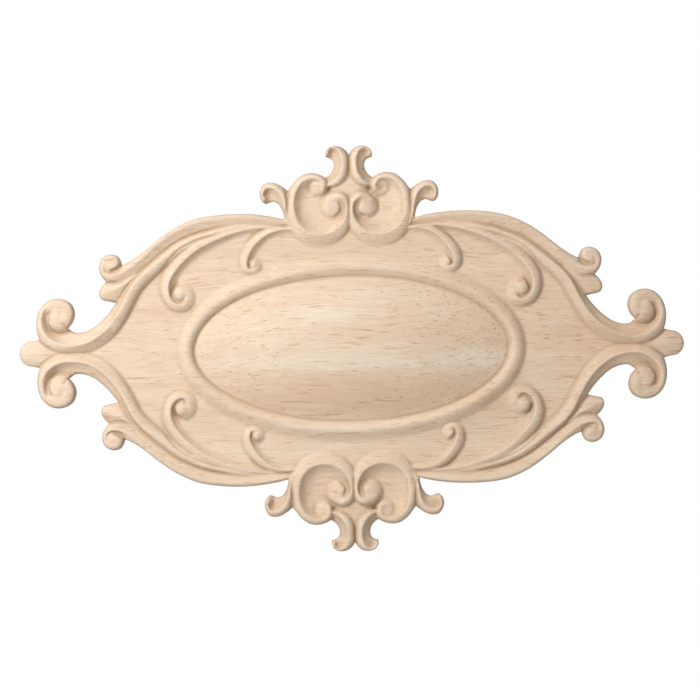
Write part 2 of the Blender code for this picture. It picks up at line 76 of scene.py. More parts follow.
# Outline of the quarter, as smooth runs that meet in corners.
OUTLINE = {
    "top hook, outside": [
        (0.0, 87.6), (1.1, 89.3), (3.2, 91.0), (6.4, 91.5), (9.3, 90.4), (10.6, 88.0), (10.4, 86.7)],
    "top hook, inside": [
        (10.4, 86.7), (9.0, 86.4), (7.5, 85.3), (6.85, 83.0), (7.5, 80.5), (9.0, 78.5), (10.7, 77.4)],
    "scroll": [
        (10.7, 77.4), (13.2, 78.7), (16.8, 79.5), (20.6, 78.8), (24.4, 76.0), (26.8, 72.9),
        (27.9, 71.6)],
    "side hook, outside": [
        (27.9, 71.6), (30.2, 73.5), (34.2, 75.4), (38.2, 74.9), (40.4, 71.2), (39.8, 67.4),
        (37.9, 66.0), (36.2, 66.6)],
    "side hook, inside": [
        (36.2, 66.6), (34.6, 67.1), (32.4, 66.0), (30.7, 63.4), (29.8, 60.6), (29.6, 58.7)],
    "outer band": [
        (29.6, 58.7), (35.0, 60.0), (43.0, 61.1), (52.0, 61.5), (62.0, 60.9), (71.0, 59.1),
        (80.0, 55.1), (88.0, 49.6), (95.0, 43.9), (100.5, 40.3), (103.4, 39.2)],
    "small volute": [
        (103.4, 39.2), (103.6, 40.6), (105.3, 43.4), (108.6, 44.1), (112.0, 42.2), (113.4, 38.6),
        (112.4, 34.6), (110.3, 31.8)],
    "leaf": [
        (110.3, 31.8), (112.4, 29.7), (113.6, 26.6), (112.5, 24.0), (109.5, 23.2), (106.1, 22.4)],
    "long band": [
        (106.1, 22.4), (108.6, 19.0), (112.5, 14.8), (117.0, 11.2), (121.5, 9.5), (125.5, 9.5),
        (128.3, 11.4)],
    "end volute": [
        (128.3, 11.4), (126.1, 14.0), (125.0, 18.0), (126.5, 22.2), (131.2, 24.7), (136.4, 23.8),
        (140.4, 19.9), (142.0, 14.4), (141.7, 9.6), (140.9, 6.5)],
    "end lobe": [
        (140.9, 6.5), (143.6, 5.8), (146.8, 5.1), (149.3, 2.8), (150.0, 0.0)],
}

# Ridge of each carved stem: across, up, height over the field, width to the left of its run, width to
# the right, and how full the left and right sides are: 0 is a hollow that fades out, 1 a quarter round.
STEMS = {
    "long band": [
        (36, 57.0, 0.3, 0.6, 1.0, 0.8, 1), (44, 56.5, 1.2, 1.0, 2.0, 0.8, 1),
        (52, 55.7, 2.0, 1.4, 3.0, 0.8, 1), (60, 53.9, 2.4, 1.7, 3.4, 0.8, 1),
        (70, 51.0, 2.7, 2.0, 3.4, 0.8, 1), (80, 45.8, 3.0, 2.6, 3.8, 0.7, 1),
        (90, 38.3, 3.3, 2.9, 4.4, 0.5, 1), (95.3, 34.0, 3.5, 2.8, 4.8, 0.3, 1),
        (99.3, 29.2, 3.6, 2.9, 4.8, 0.1, 1), (102.6, 22.6, 3.7, 4.4, 4.6, 0.15, 1),
        (106, 16.6, 3.8, 5.2, 4.6, 0.2, 0.9), (110, 11.4, 3.9, 5.7, 4.6, 0.25, 0.7),
        (114, 7.9, 3.9, 6.1, 4.6, 0.3, 0.55), (118, 5.4, 3.9, 6.4, 4.4, 0.3, 0.5),
        (122, 4.1, 3.9, 6.6, 4.2, 0.3, 0.55), (126, 3.7, 4.0, 6.6, 4.2, 0.25, 0.7),
        (130, 4.0, 4.2, 6.4, 4.5, 0.15, 0.9), (134, 5.6, 4.3, 5.2, 5.0, 0.1, 1),
        (137.4, 8.5, 4.4, 3.6, 4.8, 0.3, 1), (139.4, 12.4, 4.3, 2.8, 4.4, 0.6, 1),
        (139.5, 16.2, 4.2, 2.6, 4.2, 0.7, 1), (138.3, 19.6, 4.1, 3.8, 4.0, 0.6, 1),
        (135.4, 21.6, 4.1, 6.0, 4.2, 1, 1), (131.8, 22.0, 4.2, 7.0, 4.2, 1, 1),
        (128.8, 20.2, 4.3, 7.0, 4.6, 1, 1), (128.3, 17.2, 4.5, 6.0, 4.6, 1, 1),
        (130.0, 15.2, 4.6, 4.6, 5.4, 1, 1), (132.3, 15.6, 4.7, 4.0, 6.2, 1, 1),
        (132.6, 17.4, 4.7, 4.4, 6.0, 1, 1)],
    "outer band": [
        (25.5, 56.4, 0.6, 1.5, 1.2, 1, 0.6), (29.0, 57.3, 1.6, 2.0, 1.5, 1, 0.6),
        (34, 58.3, 2.2, 2.6, 3.0, 1, 0.6), (43, 59.3, 2.5, 3.2, 4.0, 1, 0.6),
        (52, 59.7, 2.7, 3.4, 4.8, 1, 0.6), (62, 59.1, 2.9, 3.6, 5.4, 1, 0.55),
        (71, 57.2, 3.0, 3.8, 6.0, 1, 0.5), (80, 53.1, 3.1, 4.0, 6.2, 1, 0.45),
        (88, 47.6, 3.2, 4.4, 6.0, 1, 0.45), (95, 41.4, 3.3, 5.0, 5.4, 0.9, 0.5),
        (100, 37.6, 3.4, 5.0, 4.8, 0.7, 0.6), (104, 35.7, 3.5, 4.0, 4.6, 0.3, 0.8),
        (107.6, 35.0, 3.6, 2.6, 4.2, 0, 1), (110.7, 36.1, 3.6, 2.4, 4.0, 0.2, 1),
        (111.8, 38.6, 3.6, 3.6, 3.2, 0.9, 1), (110.9, 41.0, 3.6, 5.0, 3.4, 1, 1),
        (108.7, 42.0, 3.7, 5.0, 3.4, 1, 1), (106.6, 41.2, 3.8, 4.0, 3.6, 1, 1),
        (106.4, 39.6, 3.9, 3.0, 3.4, 1, 1), (107.8, 38.9, 4.0, 3.0, 3.4, 1, 1),
        (108.7, 39.6, 4.0, 3.0, 3.6, 1, 1)],
    "leaf": [
        (96.5, 34.4, 2.0, 2.5, 2.5, 0.6, 0.6), (101, 31.4, 2.8, 3.6, 3.6, 0.55, 0.6),
        (105, 29.3, 2.9, 4.6, 5.0, 0.6, 0.7), (109, 27.7, 2.7, 5.2, 5.6, 0.6, 0.8),
        (114.4, 26.0, 2.2, 5.6, 5.8, 0.6, 0.8)],
    "large curl": [
        (30, 56.0, 0.3, 0.5, 1.0, 1, 0.2), (36, 55.4, 1.2, 0.9, 1.6, 1, 0.2),
        (44, 54.6, 1.9, 1.8, 2.4, 1, 0.1), (52, 52.9, 2.4, 2.8, 3.2, 1, 0),
        (60, 50.2, 2.7, 3.6, 3.8, 1, 0), (68, 46.3, 2.9, 4.1, 4.2, 1, 0),
        (74.2, 41.5, 2.9, 4.2, 4.0, 1, 0), (78.9, 36.5, 2.9, 4.2, 3.8, 1, 0),
        (81.8, 31.4, 2.9, 4.2, 3.4, 1, 0), (82.3, 27.5, 2.9, 4.0, 2.6, 1, 0),
        (81.3, 24.2, 2.8, 3.8, 2.2, 1, 0.3), (79.1, 21.8, 2.6, 3.6, 2.2, 0.9, 0.5),
        (76.2, 21.0, 2.4, 3.2, 2.8, 0.8, 0.7), (73.9, 22.1, 2.2, 3.0, 3.4, 0.7, 0.9),
        (73.2, 24.6, 2.0, 2.8, 4.0, 0.7, 1), (73.9, 27.0, 1.9, 2.8, 4.0, 0.7, 1),
        (75.6, 28.2, 1.8, 2.8, 3.6, 0.7, 1)],
    "small curl": [
        (25, 54.0, 0.9, 1.0, 1.2, 1, 0.2), (28, 54.1, 1.6, 1.3, 1.8, 1, 0.2),
        (32, 53.9, 2.1, 1.9, 2.4, 1, 0.1), (37, 52.3, 2.4, 2.9, 3.0, 1, 0),
        (41, 49.4, 2.5, 3.5, 3.2, 1, 0), (44.3, 45.6, 2.5, 3.8, 3.2, 1, 0),
        (46.3, 41.8, 2.5, 4.0, 2.8, 1, 0), (46.7, 39.4, 2.5, 3.7, 2.0, 1, 0),
        (46.2, 37.5, 2.3, 3.2, 1.7, 0.9, 0.2), (44.8, 36.5, 2.1, 2.5, 1.7, 0.8, 0.5),
        (43.1, 36.6, 1.8, 2.3, 2.4, 0.7, 0.9), (42.2, 37.8, 1.6, 2.1, 2.6, 0.7, 1),
        (42.1, 39.3, 1.5, 2.0, 2.6, 0.7, 1)],
    "scroll": [
        (11.8, 72.2, 2.8, 2.0, 2.4, 1, 0.9), (11.9, 74.2, 3.1, 2.4, 3.0, 1, 0.7),
        (13.8, 76.4, 3.1, 2.8, 4.0, 1, 0.3), (17.0, 77.0, 3.1, 3.2, 4.8, 1, 0.1),
        (20.6, 75.6, 3.1, 3.8, 5.0, 1, 0.1), (23.6, 71.9, 3.1, 4.0, 5.2, 1, 0.1),
        (24.8, 67.4, 3.1, 4.0, 5.4, 1, 0.1), (24.8, 62.8, 3.1, 4.2, 5.6, 1, 0.1),
        (23.6, 58.2, 3.1, 4.6, 6.2, 1, 0.1), (20.6, 54.2, 3.0, 5.2, 7.0, 0.8, 0),
        (16.0, 52.0, 2.9, 5.4, 7.2, 0.6, 0),
        (10.6, 52.0, 2.9, 5.2, 6.6, 0.6, 0), (5.6, 54.4, 3.0, 4.6, 5.4, 0.8, 0),
        (2.6, 58.4, 3.1, 3.8, 3.6, 1, 0), (1.6, 62.8, 3.2, 3.0, 2.2, 1, 0),
        (2.4, 66.2, 3.2, 3.0, 2.2, 1, 0.2), (4.8, 68.3, 3.2, 2.8, 3.0, 1, 0.7),
        (7.4, 68.0, 3.1, 2.8, 3.6, 1, 1), (9.2, 66.6, 3.0, 2.8, 3.6, 1, 1)],
    "top hook": [
        (9.8, 73.8, 1.8, 1.4, 1.6, 1, 0.3), (6.8, 75.9, 2.7, 2.6, 2.9, 1, 0.2),
        (4.4, 78.9, 3.0, 3.4, 3.3, 1, 0.2), (3.3, 82.8, 3.1, 3.4, 3.3, 1, 0.2),
        (3.5, 86.4, 3.1, 3.4, 3.3, 1, 0.2), (4.9, 89.4, 3.1, 2.6, 2.9, 1, 0.2),
        (7.2, 90.5, 3.1, 2.0, 2.6, 1, 0), (9.0, 89.6, 2.9, 1.8, 1.8, 1, 0.1),
        (9.6, 88.0, 2.6, 1.5, 1.5, 1, 0.6)],
    "side hook": [
        (26.0, 54.0, 1.0, 1.0, 1.4, 1, 0.3), (28.3, 58.6, 2.5, 1.6, 2.4, 1, 0.2),
        (29.1, 63.0, 2.9, 1.9, 2.9, 1, 0.2), (30.0, 67.2, 3.0, 2.4, 3.2, 1, 0.2),
        (31.8, 70.7, 3.0, 3.2, 3.3, 1, 0.2), (34.7, 72.8, 3.0, 3.4, 3.2, 1, 0.2),
        (37.6, 72.6, 3.0, 3.0, 3.2, 1, 0), (38.9, 70.2, 2.9, 2.4, 2.2, 1, 0.1),
        (38.4, 68.0, 2.6, 2.0, 1.8, 1, 0.6)],
    "end lobe": [
        (131.0, 0.0, 1.6, 3.0, 3.0, 0.8, 0.8), (141, 0.0, 2.8, 8.5, 8.5, 0.8, 0.8),
        (149.5, 0.0, 2.4, 8.5, 8.5, 0.8, 0.8)],
}

# Swells and sinks of the field itself: middle across, middle up, half width, half height, rise, power.
FIELD_SWELLS = {
    "sunk between the stems": (60.0, 40.0, 22.0, 9.0, -0.7, 2),
    "raised between the top hooks": (0.0, 75.0, 6.5, 8.0, 1.4, 4),
    "deep corner beside the scroll": (9.2, 72.4, 1.0, 1.0, -1.6, 2),
    "pit beside the scroll's top": (16.8, 72.4, 1.5, 1.7, -0.8, 2),
}

# Round ends of the scrolls and curls: middle across, middle up, radius, rise over the field, and how
# round they are, from 0 for a flat disc to 1 for a low mound.
BUTTONS = {
    "large curl": (77.0, 26.2, 3.5, 2.8, 0.45),
    "small curl": (43.8, 39.0, 2.2, 2.4, 0.45),
    "scroll": (7.5, 64.6, 5.5, 2.9, 0.65),
    "top of the scroll": (13.6, 73.2, 4.4, 2.3, 0.6),
    "small volute": (108.2, 39.3, 4.6, 3.8, 0.5),
}

# The dish that the scroll lies in: its middle, half width and half height, and depth.
DISH_MIDDLE = (15.0, 64.4)
DISH_RADII = (11.0, 12.4)
DISH_DEEP = 1.1

# Narrow cuts along the feet of the stems: depth, half width, then places along the cut.
CREASES = {
    "between the two bands": (0.7, 0.4, [
        (56, 56), (64, 54.7), (70, 52.9), (75, 51), (80, 48.3), (85, 44.6), (90, 40.6), (94, 36.9),
        (98, 33), (100, 31), (103, 27), (106, 22.7)]),
    "long band and large curl": (0.7, 0.4, [
        (58, 53.2), (62, 52.2), (70, 49.6), (77, 46), (82, 41.3), (86.5, 35.8)]),
    "root of the small curl": (0.5, 0.45, [(38.5, 54.6), (42, 52.9), (44.5, 51), (46.8, 48.4)]),
    "large curl's eye": (1.0, 0.5, [
        (78.3, 31.3), (79.5, 29), (81, 26.5), (81, 25), (80, 23.3), (78, 22), (76.3, 22.3), (75.5, 23.6)]),
    "small curl's eye": (0.9, 0.42, [
        (44, 41), (45.3, 39.5), (46, 38), (45.6, 37), (44.5, 36.7)]),
    "end volute's eye": (0.9, 0.6, [
        (134.6, 19.2), (136.2, 18), (137.1, 15.8), (136.9, 13.2), (135.4, 10.8), (132.8, 8.9)]),
    "end volute's notch": (0.8, 0.6, [(128.0, 10.9), (128.9, 12.2), (130.0, 13.9)]),
    "small volute's slit": (1.3, 0.55, [(103.3, 39.2), (106, 37.2), (108.3, 36.3)]),
    "leaf's foot": (0.5, 0.5, [(98, 33.2), (100.5, 32), (103, 31.2), (106, 31.1), (110.6, 31.9)]),
    "lobe's foot": (0.45, 0.5, [(134, 1), (137, 2.7), (139, 4.2), (141.4, 6.3)]),
    "scroll's eye": (1.1, 0.5, [(5, 66.3), (4.0, 64.5), (3.9, 62.6), (5.0, 60.9), (6.8, 59.8)]),
    "middle of the scrolls": (0.5, 0.55, [(0, 57.5), (0, 60), (0, 63), (0, 68.5)]),
    "middle of the top": (0.5, 0.55, [(0, 79.5), (0, 82), (0, 85), (0, 88.2)]),
    "scroll and side hook": (0.6, 0.5, [
        (27.9, 72.2), (27.6, 69.5), (27.8, 67), (28.2, 63), (28.3, 57.6)]),
    "bulb beside the top hook": (0.5, 0.6, [(7.6, 73.6), (9.5, 71.6), (11.4, 69.4)]),
}

# How a cut fades: how far beside its line it is felt, how fast it deepens from its ends, and the share of
# its depth that it has there. A point out of its reach counts as far away.
CUT_REACH = 2.5
CUT_GROWTH = 5.0
CUT_END_SHARE = 0.25
FAR_AWAY = 99.0

# Spacing of the fine mesh in millimetres: the curves of the stems and cuts, the height grid and its margin,
# the three point lattices with how much of the front each takes and its clearance from the outline, and the
# rows round the edge, each where its rounding has turned by so many degrees.
STEM_STEP = 0.5
CUT_STEP = 0.4
GRID_STEP = 0.25
GRID_MARGIN = 3.0
LATTICE_STEPS = (1.6, 0.8, 0.4)
LATTICE_SHARES = (1.0, 0.5, 0.2)
LATTICE_CLEAR = (1.9, 1.6, 1.3)
EDGE_ROW_TURNS = (25.0, 55.0, 90.0)
EDGE_ROW_STEP = 0.55
EDGE_ROW_CLEAR = 0.93
AXIS_CLEAR = 0.2

# Working values: points of a curve from one knot to the next, the gap in metres at which mirrored points
# join, the bend in degrees past which an edge stays sharp, the steps of a vertex group's weights, how many
# points are measured at a time, the triangulation's choice of the inside only, and the least length.
CURVE_SAMPLES = 16
MERGE_METRES = 0.00001
SMOOTH_ANGLE = 38.0
WEIGHT_LEVELS = 24
BATCH = 4000
INSIDE_ONLY = 1
TINY = 1e-6

# How far a place looks round itself to tell how hollow it is, how much a cut adds to that, and how far the
# cuts and the bend of the front are spread, all but the share in millimetres.
# The materials paint the hollow places with shade and the crests with a highlight.
HOLLOW_SPREAD = 1.3
CUT_SHADE = 0.6
CUT_SHADE_SPREAD = 0.25
BEND_SPREAD = 0.375

# Places where the wood is paler, more open in its pores or ruddier, and where it is drawn rough and darker:
# across, up, half length, half height, amount, and for some where the place stops short on its right and at
# its foot. They are measured on the whole piece, from its middle, in millimetres.
WOOD_PATCHES = {
    "pale": [
        (-12.0, 16.5, 30.0, 5.0, 1.0, 14.5), (-30.0, 10.0, 44.0, 13.0, 0.45, 14.5),
        (0.0, -6.0, 80.0, 4.6, 0.8, 99.0, -10.0), (58.0, -5.0, 16.0, 5.0, 1.0, 99.0, -9.4),
        (14.0, 24.0, 24.0, 2.6, 0.5), (-128.0, 8.0, 24.0, 9.0, 0.35),
        (-60.0, 52.0, 40.0, 6.0, 0.35), (40.0, -60.0, 30.0, 5.0, 0.3)],
    "porous": [
        (38.0, 17.0, 26.0, 12.0, 1.0), (56.0, 10.0, 20.0, 16.0, 0.9),
        (20.0, -9.0, 56.0, 2.6, 0.45), (94.0, 12.0, 30.0, 26.0, 0.5, 199.0),
        (58.0, 46.0, 34.0, 10.0, 0.55), (86.0, -30.0, 34.0, 16.0, 0.4, 199.0),
        (30.0, 55.0, 14.0, 14.0, 0.5), (-96.0, -14.0, 26.0, 8.0, 0.2)],
    "ruddy": [
        (8.0, -22.0, 74.0, 9.0, 1.0), (112.0, 4.0, 44.0, 22.0, 0.7, 199.0),
        (62.0, 14.0, 30.0, 24.0, 0.6), (40.0, 56.0, 50.0, 7.0, 0.5),
        (60.0, -50.0, 50.0, 10.0, 0.35)],
    "rough": [
        (34.0, -38.0, 14.0, 3.2, 0.6), (52.0, -33.5, 10.0, 4.2, 0.9), (64.0, -26.0, 8.0, 5.5, 1.0),
        (74.5, -15.0, 4.5, 8.0, 1.0), (66.0, 46.0, 10.0, 4.0, 0.3), (30.0, 58.0, 3.0, 6.0, 0.5)],
}
# Where a patch stops on its right and at its foot if it doesn't say so, and how softly.
PATCH_LIMITS = (99.0, -99.0)
PATCH_FADE = 1.8

# Cuts that the carver made deeper in one quarter than in the others, placed in the same way.
HAND_CUTS = [
    (15.0, 72.5, 1.5, 2.0, 1.0), (6.0, 59.9, 2.6, 0.9, 0.5), (13.6, 66.0, 0.9, 3.0, 0.35),
    (14.8, -72.0, 1.4, 1.6, 0.5), (-10.6, 71.4, 1.2, 1.4, 0.4), (78.5, -24.2, 2.2, 1.0, 0.4)]
HAND_CUT_DEEP = 1.6

# How the hand strays: the length of its waves in metres in the three directions, the thickness from which
# the wood counts as carved, and how far from the ends the stray is whole, both in millimetres.
WAVES_ACROSS = 0.034
WAVES_UP = 0.03
WAVES_DEEP = 0.011
CARVED_FROM = 3.4
END_FADE = 8.0

# The wood's surface: how rough it is and how much the fibre adds, its shine and sheen, the depth in metres
# of the deepest mark, and how strongly the marks of the carved front show.
WOOD_ROUGH = 0.72
FIBRE_ROUGH = 0.22
WOOD_SHINE = 0.2
WOOD_SHEEN = 0.08
MARK_DEPTH = 0.00025
CARVED_MARKS = 0.35

# The sawn finish: how far it reaches up the sides from the back, how near the back the patches and the
# shade of the carving end, both in millimetres, how strongly its marks show, what it adds to the roughness,
# the depths of its pores, chatter and saw marks, and the shade of the saw marks.
SAWN_REACH = 2.2
BACK_SKIN = 0.1
SAWN_MARKS = 0.6
SAWN_ROUGH = 0.15
SAWN_PORE_DEPTH = 0.9
SAWN_CHATTER_DEPTH = 0.2
SAWN_LINE_DEPTH = 1.2
SAWN_LINE_SHADE = 0.25

# The room in metres: its floor, with how white, rough and bright it is, and the two lights, which face the
# middle of the piece.
FLOOR_SIZE = 8.0
FLOOR_PLACE = (0.0, 0.0, -0.6)
FLOOR_WHITE = 0.93
FLOOR_ROUGH = 0.9
FLOOR_GLOW = 0.48
WHITE = (1.0, 1.0, 1.0, 1.0)
KEY_PLACE = (-0.325, -0.44, 0.245)
KEY_WIDTH = 0.32
FILL_PLACE = (0.9, -1.1, 0.1)
FILL_WIDTH = 1.0

# The picture: its width in pixels, how far right and up of its middle the piece's middle lies, and the
# thickness of the wood, in millimetres, at which the seen width is measured.
PICTURE_PIXELS = 700
PIECE_RIGHT_PIXELS = 1.8
PIECE_UP_PIXELS = 1.5
SEEN_THICK = 7.0


def smooth_curve(knots, step):
    """Points about one step apart on a smooth curve through the knots; further columns go with them."""
    k = np.array(knots, float)
    k = np.vstack([2 * k[0] - k[1], k, 2 * k[-1] - k[-2]])
    found = []
    for i in range(1, len(k) - 2):
        p0, p1, p2, p3 = k[i - 1:i + 3]
        t1 = np.hypot(*(p1 - p0)[:2]) ** 0.5
        t2 = t1 + np.hypot(*(p2 - p1)[:2]) ** 0.5
        t3 = t2 + np.hypot(*(p3 - p2)[:2]) ** 0.5
        t = np.linspace(t1, t2, CURVE_SAMPLES, endpoint=False)[:, None]
        a1 = (t1 - t) / t1 * p0 + t / t1 * p1
        a2 = (t2 - t) / (t2 - t1) * p1 + (t - t1) / (t2 - t1) * p2
        a3 = (t3 - t) / (t3 - t2) * p2 + (t - t2) / (t3 - t2) * p3
        b1 = (t2 - t) / t2 * a1 + t / t2 * a2
        b2 = (t3 - t) / (t3 - t1) * a2 + (t - t1) / (t3 - t1) * a3
        found.append((t2 - t) / (t2 - t1) * b1 + (t - t1) / (t2 - t1) * b2)
    found.append(k[-2:-1])
    points = np.vstack(found)
    gone = np.concatenate([[0], np.cumsum(np.hypot(*np.diff(points[:, :2], axis=0).T))])
    count = max(1, int(round(gone[-1] / step)))
    places = np.linspace(0, gone[-1], count + 1)
    return np.stack([np.interp(places, gone, column) for column in points.T], 1)


def outline(step):
    """The quarter's edge, from the top middle to the end of the side."""
    runs = [smooth_curve(run, step)[:-1] for run in OUTLINE.values()]
    end = OUTLINE["end lobe"][-1]
    return np.vstack(runs + [[end]])


def to_line(points, line):
    """Distance from each point to each piece of a line, whether it is on its left, and how far along."""
    start = line[:-1, :2]
    run = line[1:, :2] - start
    rel = points[:, None, :] - start[None]
    along = np.clip((rel * run[None]).sum(2) / (run ** 2).sum(1), 0, 1)
    off = rel - along[..., None] * run[None]
    left = run[None, :, 0] * rel[..., 1] > run[None, :, 1] * rel[..., 0]
    return np.sqrt((off ** 2).sum(2)), left, along


def side_fall(t, fullness):
    """Share of the ridge height left at t of the way to the foot."""
    t = np.clip(t, 0, 1)
    return (1 - fullness) * (1 - t) ** HOLLOW_POWER + fullness * (1 - t * t) ** ROUND_POWER


def stem_height(points, line):
    """Height that one stem gives at each point."""
    high = np.zeros(len(points))
    reach = line[:, 3:5].max()
    low_corner = line[:, :2].min(0) - reach
    high_corner = line[:, :2].max(0) + reach
    close = np.where(((points > low_corner) & (points < high_corner)).all(1))[0]
    for first in range(0, len(close), BATCH):
        chosen = close[first:first + BATCH]
        distance, left, along = to_line(points[chosen], line)
        here = [line[:-1, c] * (1 - along) + line[1:, c] * along for c in range(2, 7)]
        width = np.where(left, here[1], here[2])
        fullness = np.where(left, here[3], here[4])
        high[chosen] = (here[0] * side_fall(distance / width, fullness)).max(1)
    return high


def edge_distance(points, edge):
    """Distance from each point to the quarter's edge."""
    found = np.empty(len(points))
    for first in range(0, len(points), BATCH):
        found[first:first + BATCH] = to_line(points[first:first + BATCH], edge)[0].min(1)
    return found


def soft_step(t):
    """1 at the middle, 0 at t of 1 or more, level at both."""
    return 0.5 + 0.5 * np.cos(np.pi * np.clip(t, 0, 1))


def rim_distance(across, up):
    """Distance to the crest of the oval rim, below 0 inside it."""
    across = np.maximum(across, TINY)
    f = np.hypot(across / RIM_ACROSS, up / RIM_UP)
    g = np.hypot(across / RIM_ACROSS ** 2, up / RIM_UP ** 2)
    return f * (f - 1) / g


def rim_height(across, off):
    """Height of the rim over the field: a bead steep at its feet, its outer side wider over the middle."""
    share = np.clip(across / RIM_ACROSS, 0, 1) ** 2
    t = np.clip(-off / (RIM_INNER_WIDTH + RIM_INNER_SPREAD * (1 - share)), 0, 1)
    inner = share * (1 - t ** 2) + (1 - share) * (1 - t ** RIM_INNER_POWER)
    t = np.clip(off / (RIM_OUTER_WIDTH + RIM_OUTER_SPREAD * (1 - share)), 0, 1)
    outer = share * (1 - t ** 2) + (1 - share) * soft_step(t)
    return RIM_HIGH * np.where(off < 0, inner, outer)


def triangles(points, edges):
    """Flat triangles inside the closed constraint, with the points that they use."""
    out = delaunay_2d_cdt([Vector(p) for p in points], edges, [], INSIDE_ONLY, TINY)
    flat = np.array([tuple(v) for v in out[0]])
    faces = np.array([tuple(f) for f in out[2]])
    a, b, c = flat[faces[:, 0]], flat[faces[:, 1]], flat[faces[:, 2]]
    turn = (b[:, 0] - a[:, 0]) * (c[:, 1] - a[:, 1]) - (b[:, 1] - a[:, 1]) * (c[:, 0] - a[:, 0])
    faces[turn < 0] = faces[turn < 0][:, ::-1]
    return flat, faces


def inside_quarter(points, edge):
    """Whether each point is inside the quarter's outline."""
    loop = np.vstack([edge, [(0.0, 0.0)]])
    after = np.roll(loop, -1, axis=0)
    inside = np.zeros(len(points), bool)
    for (ax, ay), (bx, by) in zip(loop, after):
        cross = (ay > points[:, 1]) != (by > points[:, 1])
        if ay != by:
            inside ^= cross & (points[:, 0] < ax + (bx - ax) * (points[:, 1] - ay) / (by - ay))
    return inside


def cut_depth(points, knots):
    """Distance of each point from a cut, and the share of its depth that the cut has there."""
    line = smooth_curve(knots, CUT_STEP)
    share = np.zeros(len(points))
    distance = np.full(len(points), FAR_AWAY)
    low_corner = line.min(0) - CUT_REACH
    high_corner = line.max(0) + CUT_REACH
    close = np.where(((points > low_corner) & (points < high_corner)).all(1))[0]
    for first in range(0, len(close), BATCH):
        chosen = close[first:first + BATCH]
        off, _, along = to_line(points[chosen], line)
        nearest = off.argmin(1)
        rows = np.arange(len(chosen))
        gone = (nearest + along[rows, nearest]) / (len(line) - 1)
        distance[chosen] = off[rows, nearest]
        share[chosen] = np.clip(np.minimum(gone, 1 - gone) * CUT_GROWTH + CUT_END_SHARE, 0, 1)
    return distance, share


def field_height(across, up):
    """Thickness of the field between the stems, with its swells and the dish of the scroll."""
    field = np.full(len(across), FIELD_THICK)
    for middle_across, middle_up, half_width, half_height, rise, power in FIELD_SWELLS.values():
        spread = ((across - middle_across) / half_width) ** power
        spread = spread + ((up - middle_up) / half_height) ** power
        field += rise * np.exp(-spread)
    dish = ((across - DISH_MIDDLE[0]) / DISH_RADII[0]) ** 2
    dish = dish + ((up - DISH_MIDDLE[1]) / DISH_RADII[1]) ** 2
    return field - DISH_DEEP * np.clip(1 - dish, 0, 1)


def stems_height(points):
    """Height over the field of the highest stem or round end at each point."""
    across, up = points.T
    stems = np.zeros(len(points))
    for knots in STEMS.values():
        stems = np.maximum(stems, stem_height(points, smooth_curve(knots, STEM_STEP)))
    for middle_across, middle_up, radius, rise, power in BUTTONS.values():
        off = np.hypot(across - middle_across, up - middle_up) / radius
        stems = np.maximum(stems, rise * np.clip(1 - off ** 2, 0, 1) ** power)
    return stems


def carved_height(points):
    """Thickness of the wood at each point before the edge is rounded, and the depth of the cuts in it."""
    across, up = points.T
    rim_off = rim_distance(across, up)
    rim = rim_height(across, rim_off)
    share = np.hypot(across / (RIM_ACROSS - RIM_INNER_WIDTH), up / (RIM_UP - RIM_INNER_WIDTH))
    dome = DOME_HIGH * np.clip(1 - share ** DOME_POWER, 0, 1)
    inside = FIELD_THICK + np.maximum(rim, dome)
    outside = field_height(across, up) + np.maximum(stems_height(points), rim)
    high = np.where(rim_off < 0, inside, outside)
    foot_cut = RIM_FOOT_CUT * np.clip(across / RIM_ACROSS, RIM_FOOT_CUT_LEAST, 1)
    high -= foot_cut * np.exp(-((rim_off + RIM_INNER_WIDTH) / RIM_FOOT_CUT_WIDTH) ** 2)
    cuts = np.zeros(len(points))
    for depth, half_width, knots in CREASES.values():
        distance, fade = cut_depth(points, knots)
        cut = depth * fade * np.exp(-(distance / half_width) ** 2)
        high -= cut
        cuts = np.maximum(cuts, cut)
    return high, cuts


def blurred(grid, spread):
    """The grid softened evenly by a spread in millimetres, its edges repeated."""
    radius = spread / GRID_STEP
    reach = int(math.ceil(3 * radius))
    weights = np.exp(-0.5 * (np.arange(-reach, reach + 1) / radius) ** 2)
    weights /= weights.sum()
    for axis in (0, 1):
        pad = [(0, 0), (0, 0)]
        pad[axis] = (reach, reach)
        wide = np.pad(grid, pad, mode="edge")
        size = grid.shape[axis]
        grid = sum(w * np.take(wide, range(i, i + size), axis=axis) for i, w in enumerate(weights))
    return grid


